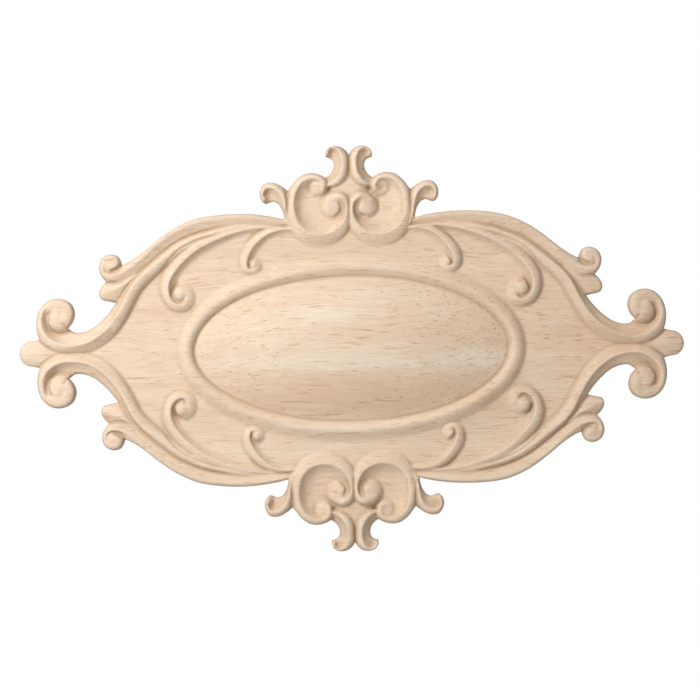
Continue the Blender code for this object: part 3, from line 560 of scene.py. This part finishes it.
class HeightGrid:
    """The quarter's carved front on an even grid: its height, how hollow it is and how much it bends."""

    def __init__(self, soften):
        columns = np.arange(-GRID_MARGIN, HALF_LENGTH + GRID_MARGIN, GRID_STEP)
        rows = np.arange(-GRID_MARGIN, math.ceil(HALF_HEIGHT) + GRID_MARGIN, GRID_STEP)
        across, up = np.meshgrid(columns, rows)
        places = np.stack([np.abs(across).ravel(), np.abs(up).ravel()], 1)
        raw, cuts = (values.reshape(across.shape) for values in carved_height(places))
        self.high = blurred(raw, soften)
        # How hollow each place is, with its cuts: painted as shade in the feet of the carving and as
        # highlight on the crests.
        self.hollow = blurred(raw, HOLLOW_SPREAD) - self.high + CUT_SHADE * blurred(cuts, CUT_SHADE_SPREAD)
        slope_up, slope_across = np.gradient(self.high, GRID_STEP)
        bend_up = np.gradient(slope_up, GRID_STEP, axis=0)
        bend_across = np.gradient(slope_across, GRID_STEP, axis=1)
        twist = np.gradient(slope_up, GRID_STEP, axis=1)
        self.bend = np.sqrt(blurred(bend_up ** 2 + bend_across ** 2 + 2 * twist ** 2, BEND_SPREAD))

    def at(self, grid, points):
        """Values of one of the grids at points between its places."""
        column = (points[:, 0] + GRID_MARGIN) / GRID_STEP
        row = (points[:, 1] + GRID_MARGIN) / GRID_STEP
        c = np.clip(column.astype(int), 0, grid.shape[1] - 2)
        r = np.clip(row.astype(int), 0, grid.shape[0] - 2)
        s, t = column - c, row - r
        low = grid[r, c] * (1 - s) + grid[r, c + 1] * s
        high = grid[r + 1, c] * (1 - s) + grid[r + 1, c + 1] * s
        return low * (1 - t) + high * t


def lattice(step, edge, clear):
    """An even lattice inside the quarter, clear of its outline and off its two axes."""
    columns = np.arange(step / 2, HALF_LENGTH, step)
    rows = np.arange(step / 2, math.ceil(HALF_HEIGHT), step)
    points = np.stack([axis.ravel() for axis in np.meshgrid(columns, rows)], 1)
    points = points[inside_quarter(points, edge)]
    return points[edge_distance(points, edge) > clear]


def edge_rows(edge, radius):
    """Rows of points inside the outline, where its rounding turns."""
    found = []
    line = smooth_curve(edge, EDGE_ROW_STEP)
    run = np.gradient(line, axis=0)
    inward = np.stack([run[:, 1], -run[:, 0]], 1) / np.hypot(*run.T)[:, None]
    for turn in EDGE_ROW_TURNS:
        off = radius * (1 - math.cos(math.radians(turn)))
        row = line + inward * off
        row = row[inside_quarter(row, edge) & (row.min(1) > AXIS_CLEAR)]
        found.append(row[edge_distance(row, edge) > EDGE_ROW_CLEAR * off])
    return np.vstack(found)


def front_mesh(sizes):
    """The quarter's carved front: its points, their heights, how hollow they are, and its triangles."""
    radius = sizes.edge_round / METRES
    grid = HeightGrid(sizes.soften / METRES)
    edge = outline(EDGE_ROW_STEP)
    gap = LATTICE_STEPS[1]
    side = [(p, 0.0) for p in np.arange(gap, edge[-1][0] - gap / 2, gap)]
    rise = [(0.0, p) for p in np.arange(gap, edge[0][1] - gap / 2, gap)]
    loop = edge.tolist() + side[::-1] + [(0.0, 0.0)] + rise
    edges = [(i, (i + 1) % len(loop)) for i in range(len(loop))]
    layers = [np.array(loop), edge_rows(edge, radius)]
    for step, share, clear in zip(LATTICE_STEPS, LATTICE_SHARES, LATTICE_CLEAR):
        points = lattice(step, edge, clear)
        bend = grid.at(grid.bend, points)
        layers.append(points[bend >= np.quantile(bend, 1 - share)])
    flat, faces = triangles(np.vstack(layers).tolist(), edges)
    turn = np.clip(1 - edge_distance(flat, edge) / radius, 0, 1)
    high = grid.at(grid.high, flat) - radius * (1 - np.sqrt(1 - turn ** 2))
    return flat, high, grid.at(grid.hollow, flat), faces


def clean_selection():
    """Nothing selected, so that an operator works on its own object only."""
    if bpy.context.object and bpy.context.object.mode != "OBJECT":
        bpy.ops.object.mode_set(mode="OBJECT")
    bpy.ops.object.select_all(action="DESELECT")


def make_active(piece):
    """The piece alone is selected and active."""
    clean_selection()
    piece.select_set(True)
    bpy.context.view_layer.objects.active = piece


def patch_amount(places, patches):
    """How strongly each place lies in one of the patches."""
    amount = np.zeros(len(places))
    for across, up, half_length, half_height, strength, *limits in patches:
        right_end, foot = (*limits, *PATCH_LIMITS[len(limits):])
        spread = ((places[:, 0] - across) / half_length) ** 2 + ((places[:, 1] - up) / half_height) ** 2
        kept = soft_step((places[:, 0] - right_end) / PATCH_FADE)
        kept = kept * soft_step((foot - places[:, 1]) / PATCH_FADE)
        amount = np.maximum(amount, strength * np.exp(-spread) * kept)
    return amount


def read(items, name, width=1, kind=float):
    """A value of every item, or a row of values where there are several of them to an item."""
    values = np.empty(len(items) * width, kind)
    items.foreach_get(name, values)
    return values if width == 1 else values.reshape(-1, width)


def write_attribute(mesh, name, values):
    """A value for every point of the mesh, read by the materials."""
    layer = mesh.attributes.new(name, "FLOAT", "POINT")
    layer.data.foreach_set("value", np.asarray(values, np.float32))


def select_edges(mesh, chosen):
    """Selects these edges of the mesh and nothing else."""
    points = np.zeros(len(mesh.vertices), bool)
    points[read(mesh.edges, "vertices", 2, int)[chosen].ravel()] = True
    mesh.polygons.foreach_set("select", np.zeros(len(mesh.polygons), bool))
    mesh.edges.foreach_set("select", chosen)
    mesh.vertices.foreach_set("select", points)


class Nodes:
    """Short ways to add shader nodes to one tree and to link them."""

    def __init__(self, tree):
        self.tree = tree

    def fill(self, socket, value):
        """Links another node's output to the socket, or sets the socket to a plain value."""
        if isinstance(value, bpy.types.NodeSocket):
            self.tree.links.new(value, socket)
        else:
            socket.default_value = value

    def add(self, kind, inputs=None, **settings):
        """A node with these inputs and settings."""
        node = self.tree.nodes.new(kind)
        for name, value in settings.items():
            setattr(node, name, value)
        for name, value in (inputs or {}).items():
            self.fill(node.inputs[name], value)
        return node

    def math(self, operation, a, b=None, clamp=False):
        """An operation on one or two numbers."""
        inputs = {0: a} if b is None else {0: a, 1: b}
        return self.add("ShaderNodeMath", inputs, operation=operation, use_clamp=clamp).outputs[0]

    def plus(self, a, b):
        """The sum of two numbers."""
        return self.math("ADD", a, b)

    def minus(self, a, b):
        """The first number less the second."""
        return self.math("SUBTRACT", a, b)

    def times(self, a, b):
        """The product of two numbers."""
        return self.math("MULTIPLY", a, b)

    def vector(self, operation, a, b):
        """An operation on two vectors."""
        return self.add("ShaderNodeVectorMath", {0: a, 1: b}, operation=operation).outputs[0]

    def ramp(self, value, low, high, kind="SMOOTHSTEP"):
        """0 where the value is low, rising to 1 where it is high."""
        return self.add("ShaderNodeMapRange", {"Value": value, "From Min": low, "From Max": high},
                        interpolation_type=kind).outputs["Result"]

    def mixed(self, amount, a, b, blend="MIX"):
        """Colour a with an amount of colour b over it."""
        node = self.add("ShaderNodeMix", data_type="RGBA", blend_type=blend)
        for label, value in (("Factor_Float", amount), ("A_Color", a), ("B_Color", b)):
            self.fill(next(s for s in node.inputs if s.identifier == label), value)
        return next(s for s in node.outputs if s.identifier == "Result_Color")

    def noise(self, place, scale, detail=2.0, roughness=0.5):
        """Soft noise, with its own scale along each axis."""
        scaled = self.vector("MULTIPLY", place, scale)
        return self.add("ShaderNodeTexNoise", {"Vector": scaled, "Scale": 1.0, "Detail": detail,
                                               "Roughness": roughness}).outputs["Fac"]

    def cells(self, place, scale):
        """Distance from the middle of each random cell, and three random numbers of the cell."""
        scaled = self.vector("MULTIPLY", place, scale)
        found = self.add("ShaderNodeTexVoronoi", {"Vector": scaled, "Scale": 1.0, "Randomness": 1.0})
        chance = self.add("ShaderNodeSeparateColor", {0: found.outputs["Color"]})
        return found.outputs["Distance"], chance.outputs

    def attribute(self, name):
        """A value that the mesh has at each of its points."""
        return self.add("ShaderNodeAttribute", attribute_name=name).outputs["Fac"]


def new_group(name, inputs, outputs):
    """The nodes of a shader node group with these number sockets, and what its inputs give inside it."""
    group = bpy.data.node_groups.new(name, "ShaderNodeTree")
    for label, usual in inputs.items():
        socket = group.interface.new_socket(label, in_out="INPUT", socket_type="NodeSocketFloat")
        socket.default_value = usual
    for label in outputs:
        group.interface.new_socket(label, in_out="OUTPUT", socket_type="NodeSocketFloat")
    return Nodes(group), group.nodes.new("NodeGroupInput").outputs


def put_out(nodes, values):
    """Links the values to the group's outputs, and gives the finished group."""
    nodes.add("NodeGroupOutput", values)
    return nodes.tree


def wood_place(nodes):
    """Place in the wood in millimetres, from the object's own middle."""
    place = nodes.add("ShaderNodeTexCoord").outputs["Object"]
    return nodes.vector("MULTIPLY", place, (1 / METRES, 1 / METRES, 1 / METRES))


def wandering(nodes, place):
    """The place shifted a little sideways, so that the lines of the wood wander along its length."""
    drift = nodes.add("ShaderNodeTexNoise", {"Vector": place, "Scale": 0.018, "Detail": 1.0})
    drift = nodes.vector("SUBTRACT", drift.outputs["Color"], (0.5, 0.5, 0.5))
    drift = nodes.vector("MULTIPLY", drift, (0.0, 9.0, 9.0))
    return nodes.vector("ADD", place, drift)


def fibre_lines(nodes, grain):
    """Fine fibre with finer fibre over it."""
    fine = nodes.noise(grain, (0.06, 1.9, 2.1), 4.0, 0.7)
    finer = nodes.noise(grain, (0.35, 6.0, 6.0), 2.0, 0.6)
    return nodes.plus(nodes.times(fine, 0.7), nodes.times(finer, 0.3))


def hairlines(nodes, grain):
    """Thin broken lines, where a slow noise passes through its middle."""
    level = nodes.noise(grain, (0.03, 0.75, 0.85), 1.0, 0.4)
    line = nodes.ramp(nodes.math("ABSOLUTE", nodes.minus(level, 0.5)), 0.05, 0.008)
    broken = nodes.ramp(nodes.noise(grain, (0.1, 0.8, 0.9), 1.0), 0.52, 0.64)
    return nodes.times(line, broken)


def pores(nodes, place, grain):
    """Short dashes of uneven width, more and darker ones in the porous patches."""
    distance, chance = nodes.cells(grain, (0.13, 1.2, 1.2))
    porous = nodes.attribute("porous")
    spread = nodes.plus(nodes.times(nodes.noise(place, (0.02, 0.08, 0.09), 2.0), 0.45), porous)
    there = nodes.math("LESS_THAN", chance[0], nodes.ramp(spread, 0.22, 1.05, "LINEAR"))
    width = nodes.plus(nodes.times(chance[1], 0.2), 0.13)
    dash = nodes.math("SUBTRACT", 1.0, nodes.math("DIVIDE", distance, width), clamp=True)
    pore = nodes.times(nodes.ramp(dash, 0.0, 0.6), there)
    return nodes.times(pore, nodes.plus(0.45, nodes.times(porous, 0.55)))


def specks(nodes, grain):
    """A few specks, far apart."""
    distance, chance = nodes.cells(grain, (0.06, 0.11, 0.11))
    there = nodes.math("LESS_THAN", chance[0], 0.35)
    return nodes.times(nodes.ramp(distance, 0.055, 0.02), there)


def figure_group():
    """The wood's figure: broad colour bands, fine fibre, hairlines and pores, all along its length."""
    nodes, given = new_group("Wood figure", {"Pore depth": 0.6, "Fibre depth": 0.5}, (
        "Tone", "Pale", "Ruddy", "Fibre", "Hairline", "Pore", "Speck", "Height"))
    place = wood_place(nodes)
    grain = wandering(nodes, place)
    bands = nodes.ramp(nodes.noise(grain, (0.008, 0.09, 0.11), 4.0, 0.6), 0.3, 0.7)
    narrow = nodes.ramp(nodes.noise(grain, (0.02, 0.5, 0.6), 3.0, 0.6), 0.3, 0.7)
    fibre = fibre_lines(nodes, grain)
    pore = pores(nodes, place, grain)
    wisps = nodes.times(nodes.minus(nodes.noise(grain, (0.03, 0.35, 0.4), 4.0, 0.6), 0.5), 1.3)
    return put_out(nodes, {
        "Tone": nodes.plus(nodes.times(bands, 0.55), nodes.times(narrow, 0.45)),
        "Pale": nodes.ramp(nodes.plus(nodes.attribute("pale"), wisps), 0.15, 0.95),
        "Ruddy": nodes.ramp(nodes.plus(nodes.attribute("ruddy"), wisps), 0.1, 0.9),
        "Fibre": fibre,
        "Hairline": hairlines(nodes, grain),
        "Pore": pore,
        "Speck": specks(nodes, grain),
        "Height": nodes.minus(nodes.times(fibre, given["Fibre depth"]),
                              nodes.times(pore, given["Pore depth"]))})


def tool_and_painted_light_group():
    """What the tool left, with painted light: painted shade in the feet of the carving, partly burnish, a
    painted highlight on its crests, fuzz on steep sides, partly painted shade, end grain, flats.
    """
    nodes, given = new_group("Tool work and painted light", {"Chatter depth": 0.5, "Fuzz depth": 0.6}, (
        "Crease shade and burnish", "Crest highlight", "Fuzz", "End grain", "Height"))
    place = wood_place(nodes)
    hollow = nodes.attribute("hollow")
    uneven = nodes.times(nodes.minus(nodes.noise(place, (0.5, 0.5, 0.5), 3.0), 0.5), 0.2)
    normal = nodes.add("ShaderNodeNewGeometry").outputs["Normal"]
    normal = nodes.add("ShaderNodeVectorTransform", {0: normal}, vector_type="NORMAL",
                       convert_from="WORLD", convert_to="OBJECT").outputs[0]
    facing = nodes.add("ShaderNodeSeparateXYZ", {0: normal}).outputs
    # Steep sides are darkened through the fuzz: torn fibre, and partly painted shade.
    steep = nodes.ramp(nodes.math("ABSOLUTE", facing[1]), 0.93, 0.5)
    torn = nodes.ramp(nodes.noise(place, (1.1, 2.2, 2.2), 3.0, 0.75), 0.4, 0.66)
    rough = nodes.times(nodes.attribute("rough"), nodes.plus(nodes.times(torn, 0.5), 0.3))
    fuzz = nodes.math("MAXIMUM", nodes.times(steep, torn), rough)
    chatter = nodes.noise(place, (0.55, 0.9, 1.1))
    return put_out(nodes, {
        # Painted shade in the feet of the carving and along its cuts, partly burnish from the tool.
        "Crease shade and burnish": nodes.ramp(nodes.plus(hollow, uneven), 0.08, 0.62),
        # A painted highlight on the convex crests.
        "Crest highlight": nodes.ramp(nodes.times(hollow, -1.0), 0.1, 0.6),
        "Fuzz": fuzz,
        "End grain": nodes.ramp(nodes.math("ABSOLUTE", facing[0]), 0.45, 0.95),
        "Height": nodes.plus(nodes.times(chatter, given["Chatter depth"]),
                             nodes.times(fuzz, given["Fuzz depth"]))})


def saw_group():
    """Fine marks across the wood that a saw or a planer leaves on faces that aren't carved."""
    nodes, given = new_group("Saw marks", {"Line depth": 0.6, "Tick depth": 0.4}, ("Line", "Height"))
    place = wood_place(nodes)
    line = nodes.ramp(nodes.noise(place, (1.4, 0.05, 0.02)), 0.42, 0.62)
    ticks = nodes.noise(place, (2.8, 0.12, 0.7), 2.0, 0.6)
    return put_out(nodes, {
        "Line": line,
        "Height": nodes.plus(nodes.times(line, given["Line depth"]),
                             nodes.times(ticks, given["Tick depth"]))})


def wood_material(name, colours, groups, carved):
    """One finish of the wood: the carved and sanded front, or the sawn sides and back."""
    material = bpy.data.materials.new(name)
    material.use_nodes = True
    material.node_tree.nodes.clear()
    nodes = Nodes(material.node_tree)
    figure = nodes.add("ShaderNodeGroup", node_tree=groups["figure"])
    tool_and_painted_light = nodes.add("ShaderNodeGroup", node_tree=groups["tool_and_painted_light"])
    if not carved:
        figure.inputs["Pore depth"].default_value = SAWN_PORE_DEPTH
        tool_and_painted_light.inputs["Chatter depth"].default_value = SAWN_CHATTER_DEPTH
    figure, tool_and_painted_light = figure.outputs, tool_and_painted_light.outputs
    colour = nodes.mixed(figure["Tone"], tuple(colours.pale), tuple(colours.tan))
    for mask, amount, tint, blend in (
            (figure["Ruddy"], 0.7, colours.ruddy, "MIX"),
            (figure["Pale"], 0.8, colours.streak_and_highlight, "MIX"),
            (nodes.ramp(figure["Fibre"], 0.35, 0.7), 1.0, colours.fibre, "MULTIPLY"),
            (figure["Hairline"], 0.6, colours.hairline, "MIX"),
            (figure["Pore"], 0.9, colours.pore, "MIX"),
            (figure["Speck"], 0.8, colours.speck, "MIX"),
            # Painted shade in the feet of the carving, partly burnish.
            (tool_and_painted_light["Crease shade and burnish"], 0.56, colours.painted_shade_and_dark_grain, "MIX"),
            # A painted highlight on the crests.
            (tool_and_painted_light["Crest highlight"], 0.2, colours.streak_and_highlight, "MIX"),
            # Torn fibre on steep sides, drawn darker: partly painted shade.
            (tool_and_painted_light["Fuzz"], 0.6, colours.painted_shade_and_dark_grain, "MIX"),
            (tool_and_painted_light["End grain"], 0.25, colours.painted_shade_and_dark_grain, "MIX")):
        colour = nodes.mixed(nodes.times(mask, amount), colour, tuple(tint), blend)
    height = nodes.plus(figure["Height"], tool_and_painted_light["Height"])
    rough = nodes.plus(WOOD_ROUGH, nodes.times(figure["Fibre"], FIBRE_ROUGH))
    strength = CARVED_MARKS
    if not carved:
        saw = nodes.add("ShaderNodeGroup", node_tree=groups["saw"]).outputs
        colour = nodes.mixed(nodes.times(saw["Line"], SAWN_LINE_SHADE), colour, tuple(colours.painted_shade_and_dark_grain))
        height = nodes.plus(height, nodes.times(saw["Height"], SAWN_LINE_DEPTH))
        rough = nodes.plus(rough, SAWN_ROUGH)
        strength = SAWN_MARKS
    bump = nodes.add("ShaderNodeBump", {"Height": height, "Strength": strength, "Distance": MARK_DEPTH})
    shader = nodes.add("ShaderNodeBsdfPrincipled", {
        "Base Color": colour, "Roughness": rough, "Specular IOR Level": WOOD_SHINE,
        "Sheen Weight": WOOD_SHEEN, "Normal": bump.outputs[0]})
    nodes.add("ShaderNodeOutputMaterial", {"Surface": shader.outputs[0]})
    return material


class AppliqueSizes(bpy.types.PropertyGroup):
    edge_round: bpy.props.FloatProperty(
        name="Edge round", description="Radius where the carved front turns into the side walls",
        default=0.0011, unit="LENGTH")
    soften: bpy.props.FloatProperty(
        name="Softness", description="How far the sanding has softened each ridge and foot",
        default=0.00023, unit="LENGTH")
    wander: bpy.props.FloatProperty(
        name="Wander", description="How far a stem strays from where its mirrored ones are",
        default=0.0007, unit="LENGTH")
    uneven: bpy.props.FloatProperty(
        name="Unevenness", description="How deep the hand's unevenness goes on the front",
        default=0.00022, unit="LENGTH")


class AppliqueColours(bpy.types.PropertyGroup):
    pale: bpy.props.FloatVectorProperty(
        name="Pale wood", description="Lightest bands of the wood", subtype="COLOR", size=4,
        default=(0.85, 0.70, 0.55, 1.0))
    tan: bpy.props.FloatVectorProperty(
        name="Tan wood", description="Darkest bands of the wood", subtype="COLOR", size=4,
        default=(0.76, 0.575, 0.425, 1.0))
    ruddy: bpy.props.FloatVectorProperty(
        name="Ruddy wood", description="Pinkish patches of the wood", subtype="COLOR", size=4,
        default=(0.765, 0.555, 0.39, 1.0))
    # Its tint also serves for the painted highlight on the crests.
    streak_and_highlight: bpy.props.FloatVectorProperty(
        name="Pale streaks", description="Near white streaks and painted highlights", subtype="COLOR", size=4,
        default=(0.87, 0.755, 0.62, 1.0))
    fibre: bpy.props.FloatVectorProperty(
        name="Fibre", description="Tint of the fine fibre lines, multiplied on", subtype="COLOR", size=4,
        default=(0.88, 0.825, 0.755, 1.0))
    hairline: bpy.props.FloatVectorProperty(
        name="Hairlines", description="Thin orange brown lines", subtype="COLOR", size=4,
        default=(0.52, 0.30, 0.14, 1.0))
    pore: bpy.props.FloatVectorProperty(
        name="Pores", description="Short brown dashes of the open pores", subtype="COLOR", size=4,
        default=(0.38, 0.205, 0.095, 1.0))
    speck: bpy.props.FloatVectorProperty(
        name="Specks", description="A few orange brown specks", subtype="COLOR", size=4,
        default=(0.50, 0.24, 0.08, 1.0))
    # The dark tint: painted shade in the feet of the carving and partly on steep sides, with dust and
    # burnish; it also colours the end grain and the saw marks.
    painted_shade_and_dark_grain: bpy.props.FloatVectorProperty(
        name="Creases", description="Painted shade, dust and burnish in the feet of the carving", subtype="COLOR", size=4,
        default=(0.50, 0.35, 0.22, 1.0))


class AppliqueStage(bpy.types.PropertyGroup):
    lens: bpy.props.FloatProperty(
        name="Lens", description="Focal length of the camera in millimetres", default=200.0)
    seen_width: bpy.props.FloatProperty(
        name="Seen width", description="Width of the picture at the piece", default=0.31605, unit="LENGTH")
    roll: bpy.props.FloatProperty(
        name="Roll", description="How far the piece is turned in the picture, right end up",
        default=math.radians(0.98), unit="ROTATION")
    key_power: bpy.props.FloatProperty(
        name="Key light", description="Power of the large soft light at the upper left in watts",
        default=3.1)
    fill_power: bpy.props.FloatProperty(
        name="Fill light", description="Power of the soft light at the right in watts", default=0.35)
    room_light: bpy.props.FloatProperty(
        name="Room light", description="Strength of the even light of the room", default=0.40)


class APPLIQUE_OT_carving(bpy.types.Operator):
    """Carves the applique: one quarter's front, its walls and back, mirrored to the whole piece"""
    bl_idname = "applique.carving"
    bl_label = "Carve the applique"

    def execute(self, context):
        sizes = context.scene.applique_sizes
        piece = self.quarter(context, sizes)
        self.walls(piece)
        self.four_quarters(piece)
        self.stray(piece, sizes)
        self.back(piece)
        self.finish(piece, context.scene.applique_colours)
        return {"FINISHED"}

    def quarter(self, context, sizes):
        """The carved front of one quarter, as an object that is the active one."""
        flat, high, hollow, faces = front_mesh(sizes)
        places = np.stack([flat[:, 0], -high, flat[:, 1]], 1) * METRES
        mesh = bpy.data.meshes.new("carved_applique_dressed")
        mesh.from_pydata(places.tolist(), [], faces.tolist())
        write_attribute(mesh, "hollow", hollow)
        piece = bpy.data.objects.new("carved_applique_dressed", mesh)
        context.collection.objects.link(piece)
        make_active(piece)
        return piece

    def walls(self, piece):
        """Pulls the side walls from the outline to the plane of the back."""
        mesh = piece.data
        ends = read(mesh.vertices, "co", 3)[read(mesh.edges, "vertices", 2, int)]
        on_an_axis = (ends[:, :, [0, 2]] == 0).all(1).any(1)
        faces_beside = np.bincount(read(mesh.loops, "edge_index", 1, int), minlength=len(mesh.edges))
        select_edges(mesh, (faces_beside == 1) & ~on_an_axis)
        bpy.ops.object.mode_set(mode="EDIT")
        bpy.ops.mesh.select_mode(type="EDGE")
        bpy.ops.mesh.extrude_region_move()
        bpy.ops.transform.resize(value=(1.0, 0.0, 1.0), center_override=(0.0, 0.0, 0.0))
        bpy.ops.object.mode_set(mode="OBJECT")

    def four_quarters(self, piece):
        """Mirrors the quarter sideways and downwards, joined along both axes."""
        mirror = piece.modifiers.new("four quarters", "MIRROR")
        mirror.use_axis = (True, False, True)
        mirror.use_clip = True
        mirror.merge_threshold = MERGE_METRES
        bpy.ops.object.modifier_apply(modifier=mirror.name)

    def stray(self, piece, sizes):
        """The four quarters differ a little: stems stray sideways, and the front is slightly uneven."""
        places = read(piece.data.vertices, "co", 3) / METRES
        front = -places[:, 1] > CARVED_FROM
        room = np.minimum(HALF_LENGTH - np.abs(places[:, 0]), HALF_HEIGHT - np.abs(places[:, 2]))
        self.weigh(piece, "clear of the ends", np.clip(room / END_FADE, 0, 1))
        self.weigh(piece, "carved front", front.astype(float))
        self.weigh(piece, "hand cuts", front * patch_amount(places[:, [0, 2]], HAND_CUTS))
        for name, direction, strength, waves, middle, group in (
                ("hand x", "X", sizes.wander, WAVES_ACROSS, 0.5, "clear of the ends"),
                ("hand z", "Z", sizes.wander, WAVES_UP, 0.5, "clear of the ends"),
                ("hand y", "Y", sizes.uneven, WAVES_DEEP, 0.0, "carved front"),
                ("deep cuts", "Y", HAND_CUT_DEEP * METRES, None, 0.0, "hand cuts")):
            hand = piece.modifiers.new(name, "DISPLACE")
            if waves:
                texture = bpy.data.textures.new(name, "CLOUDS")
                texture.noise_scale = waves
                texture.noise_depth = 1
                hand.texture = texture
            hand.direction = direction
            hand.mid_level = middle
            hand.strength = strength
            hand.vertex_group = group
            bpy.ops.object.modifier_apply(modifier=hand.name)
        piece.vertex_groups.clear()

    def weigh(self, piece, name, weights):
        """A vertex group of the piece with these weights, in steps."""
        group = piece.vertex_groups.new(name=name)
        levels = np.round(weights * WEIGHT_LEVELS).astype(int)
        for level in range(1, WEIGHT_LEVELS + 1):
            group.add(np.where(levels == level)[0].tolist(), level / WEIGHT_LEVELS, "REPLACE")

    def back(self, piece):
        """Closes the flat back, and turns every face outwards."""
        bpy.ops.object.mode_set(mode="EDIT")
        bpy.ops.mesh.select_all(action="DESELECT")
        bpy.ops.mesh.select_non_manifold(extend=False, use_wire=False, use_boundary=True,
                                         use_multi_face=False, use_non_contiguous=False, use_verts=False)
        bpy.ops.mesh.edge_face_add()
        bpy.ops.mesh.quads_convert_to_tris()
        bpy.ops.mesh.select_all(action="SELECT")
        bpy.ops.mesh.normals_make_consistent(inside=False)
        bpy.ops.object.mode_set(mode="OBJECT")
        bpy.ops.object.shade_smooth_by_angle(angle=math.radians(SMOOTH_ANGLE))

    def finish(self, piece, colours):
        """What the materials read from the mesh, the two finishes, and the piece's place in the frame."""
        mesh = piece.data
        places = read(mesh.vertices, "co", 3) / METRES
        ahead = places[:, 1] < -BACK_SKIN
        for name, patches in WOOD_PATCHES.items():
            write_attribute(mesh, name, ahead * patch_amount(places[:, [0, 2]], patches))
        hollow = mesh.attributes["hollow"].data
        hollow.foreach_set("value", read(hollow, "value", 1, np.float32) * ahead)
        groups = {"figure": figure_group(), "tool_and_painted_light": tool_and_painted_light_group(), "saw": saw_group()}
        for name, carved in (("carved_wood", True), ("sawn_wood", False)):
            mesh.materials.append(wood_material(name, colours, groups, carved))
        sawn = read(mesh.polygons, "center", 3)[:, 1] > -SAWN_REACH * METRES
        mesh.polygons.foreach_set("material_index", sawn.astype(np.int32))
        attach(piece, "root")
        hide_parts("carved_applique")


class APPLIQUE_OT_stage(bpy.types.Operator):
    """A plain pale room, soft light from the upper left, and the camera straight in front"""
    bl_idname = "applique.stage"
    bl_label = "Set up the studio"

    def execute(self, context):
        scene = context.scene
        stage = scene.applique_stage
        scene.view_settings.view_transform = "Standard"
        self.floor()
        self.room(scene, stage)
        self.lights(scene, stage)
        self.camera(scene, stage)
        return {"FINISHED"}

    def floor(self):
        """A wide white floor, which the camera sees a little brighter than it is lit."""
        material = bpy.data.materials.new("white_sweep")
        material.use_nodes = True
        nodes = Nodes(material.node_tree)
        shader = nodes.tree.nodes["Principled BSDF"]
        seen = nodes.add("ShaderNodeLightPath").outputs["Is Camera Ray"]
        for name, value in (("Base Color", (FLOOR_WHITE, FLOOR_WHITE, FLOOR_WHITE, 1.0)),
                            ("Roughness", FLOOR_ROUGH),
                            ("Emission Color", WHITE),
                            ("Emission Strength", nodes.times(seen, FLOOR_GLOW))):
            nodes.fill(shader.inputs[name], value)
        clean_selection()
        bpy.ops.mesh.primitive_plane_add(size=FLOOR_SIZE, location=FLOOR_PLACE)
        floor = bpy.context.object
        floor.name = "floor"
        floor.data.materials.append(material)

    def room(self, scene, stage):
        """The room's even light, and plain white where the camera sees past the floor."""
        world = bpy.data.worlds.new("room")
        scene.world = world
        world.use_nodes = True
        nodes = Nodes(world.node_tree)
        even = nodes.tree.nodes["Background"]
        even.inputs["Color"].default_value = WHITE
        even.inputs["Strength"].default_value = stage.room_light
        seen = nodes.add("ShaderNodeLightPath").outputs["Is Camera Ray"]
        white = nodes.add("ShaderNodeBackground", {"Color": WHITE, "Strength": 1.0})
        both = nodes.add("ShaderNodeMixShader", {0: seen, 1: even.outputs[0], 2: white.outputs[0]})
        nodes.fill(nodes.tree.nodes["World Output"].inputs["Surface"], both.outputs[0])

    def lights(self, scene, stage):
        """A large soft light high on the left, and a weaker one on the right."""
        for name, place, width, power in (
                ("key", KEY_PLACE, KEY_WIDTH, stage.key_power),
                ("fill", FILL_PLACE, FILL_WIDTH, stage.fill_power)):
            light = bpy.data.lights.new(name, "AREA")
            light.size = width
            light.energy = power
            lamp = bpy.data.objects.new(name, light)
            scene.collection.objects.link(lamp)
            lamp.location = place
            lamp.rotation_euler = (-Vector(place)).to_track_quat("-Z", "Y").to_euler()

    def camera(self, scene, stage):
        """Straight in front with a long lens, rolled as the piece lies in the picture."""
        data = bpy.data.cameras.new("camera")
        data.lens = stage.lens
        data.dof.use_dof = False
        camera = bpy.data.objects.new("camera", data)
        scene.collection.objects.link(camera)
        distance = stage.lens / data.sensor_width * stage.seen_width + SEEN_THICK * METRES
        pixel = stage.seen_width / PICTURE_PIXELS
        turn = stage.roll
        right = Vector((math.cos(turn), 0.0, -math.sin(turn)))
        up = Vector((math.sin(turn), 0.0, math.cos(turn)))
        aim = right * (-PIECE_RIGHT_PIXELS * pixel) + up * (-PIECE_UP_PIXELS * pixel)
        camera.location = aim + Vector((0.0, -distance, 0.0))
        camera.rotation_euler = (math.pi / 2, turn, 0.0)
        scene.camera = camera


class APPLIQUE_PT_sidebar(bpy.types.Panel):
    """Lists the sizes, colours and steps of the applique"""
    bl_idname = "APPLIQUE_PT_sidebar"
    bl_label = "Carved oval applique"
    bl_space_type = "VIEW_3D"
    bl_region_type = "UI"
    bl_category = "Applique"

    def draw(self, context):
        scene = context.scene
        for group in (scene.applique_sizes, scene.applique_colours, scene.applique_stage):
            box = self.layout.box()
            for name in group.__annotations__:
                box.prop(group, name)
        for operator in (APPLIQUE_OT_carving, APPLIQUE_OT_stage):
            self.layout.operator(operator.bl_idname)


CLASSES = (AppliqueSizes, AppliqueColours, AppliqueStage, APPLIQUE_OT_carving, APPLIQUE_OT_stage,
           APPLIQUE_PT_sidebar)


def register():
    for cls in CLASSES:
        bpy.utils.register_class(cls)
    bpy.types.Scene.applique_sizes = bpy.props.PointerProperty(type=AppliqueSizes)
    bpy.types.Scene.applique_colours = bpy.props.PointerProperty(type=AppliqueColours)
    bpy.types.Scene.applique_stage = bpy.props.PointerProperty(type=AppliqueStage)


def unregister():
    del bpy.types.Scene.applique_stage
    del bpy.types.Scene.applique_colours
    del bpy.types.Scene.applique_sizes
    for cls in reversed(CLASSES):
        bpy.utils.unregister_class(cls)


def main():
    register()
    bpy.ops.applique.carving()
    bpy.ops.applique.stage()


if __name__ == "__main__":
    main()
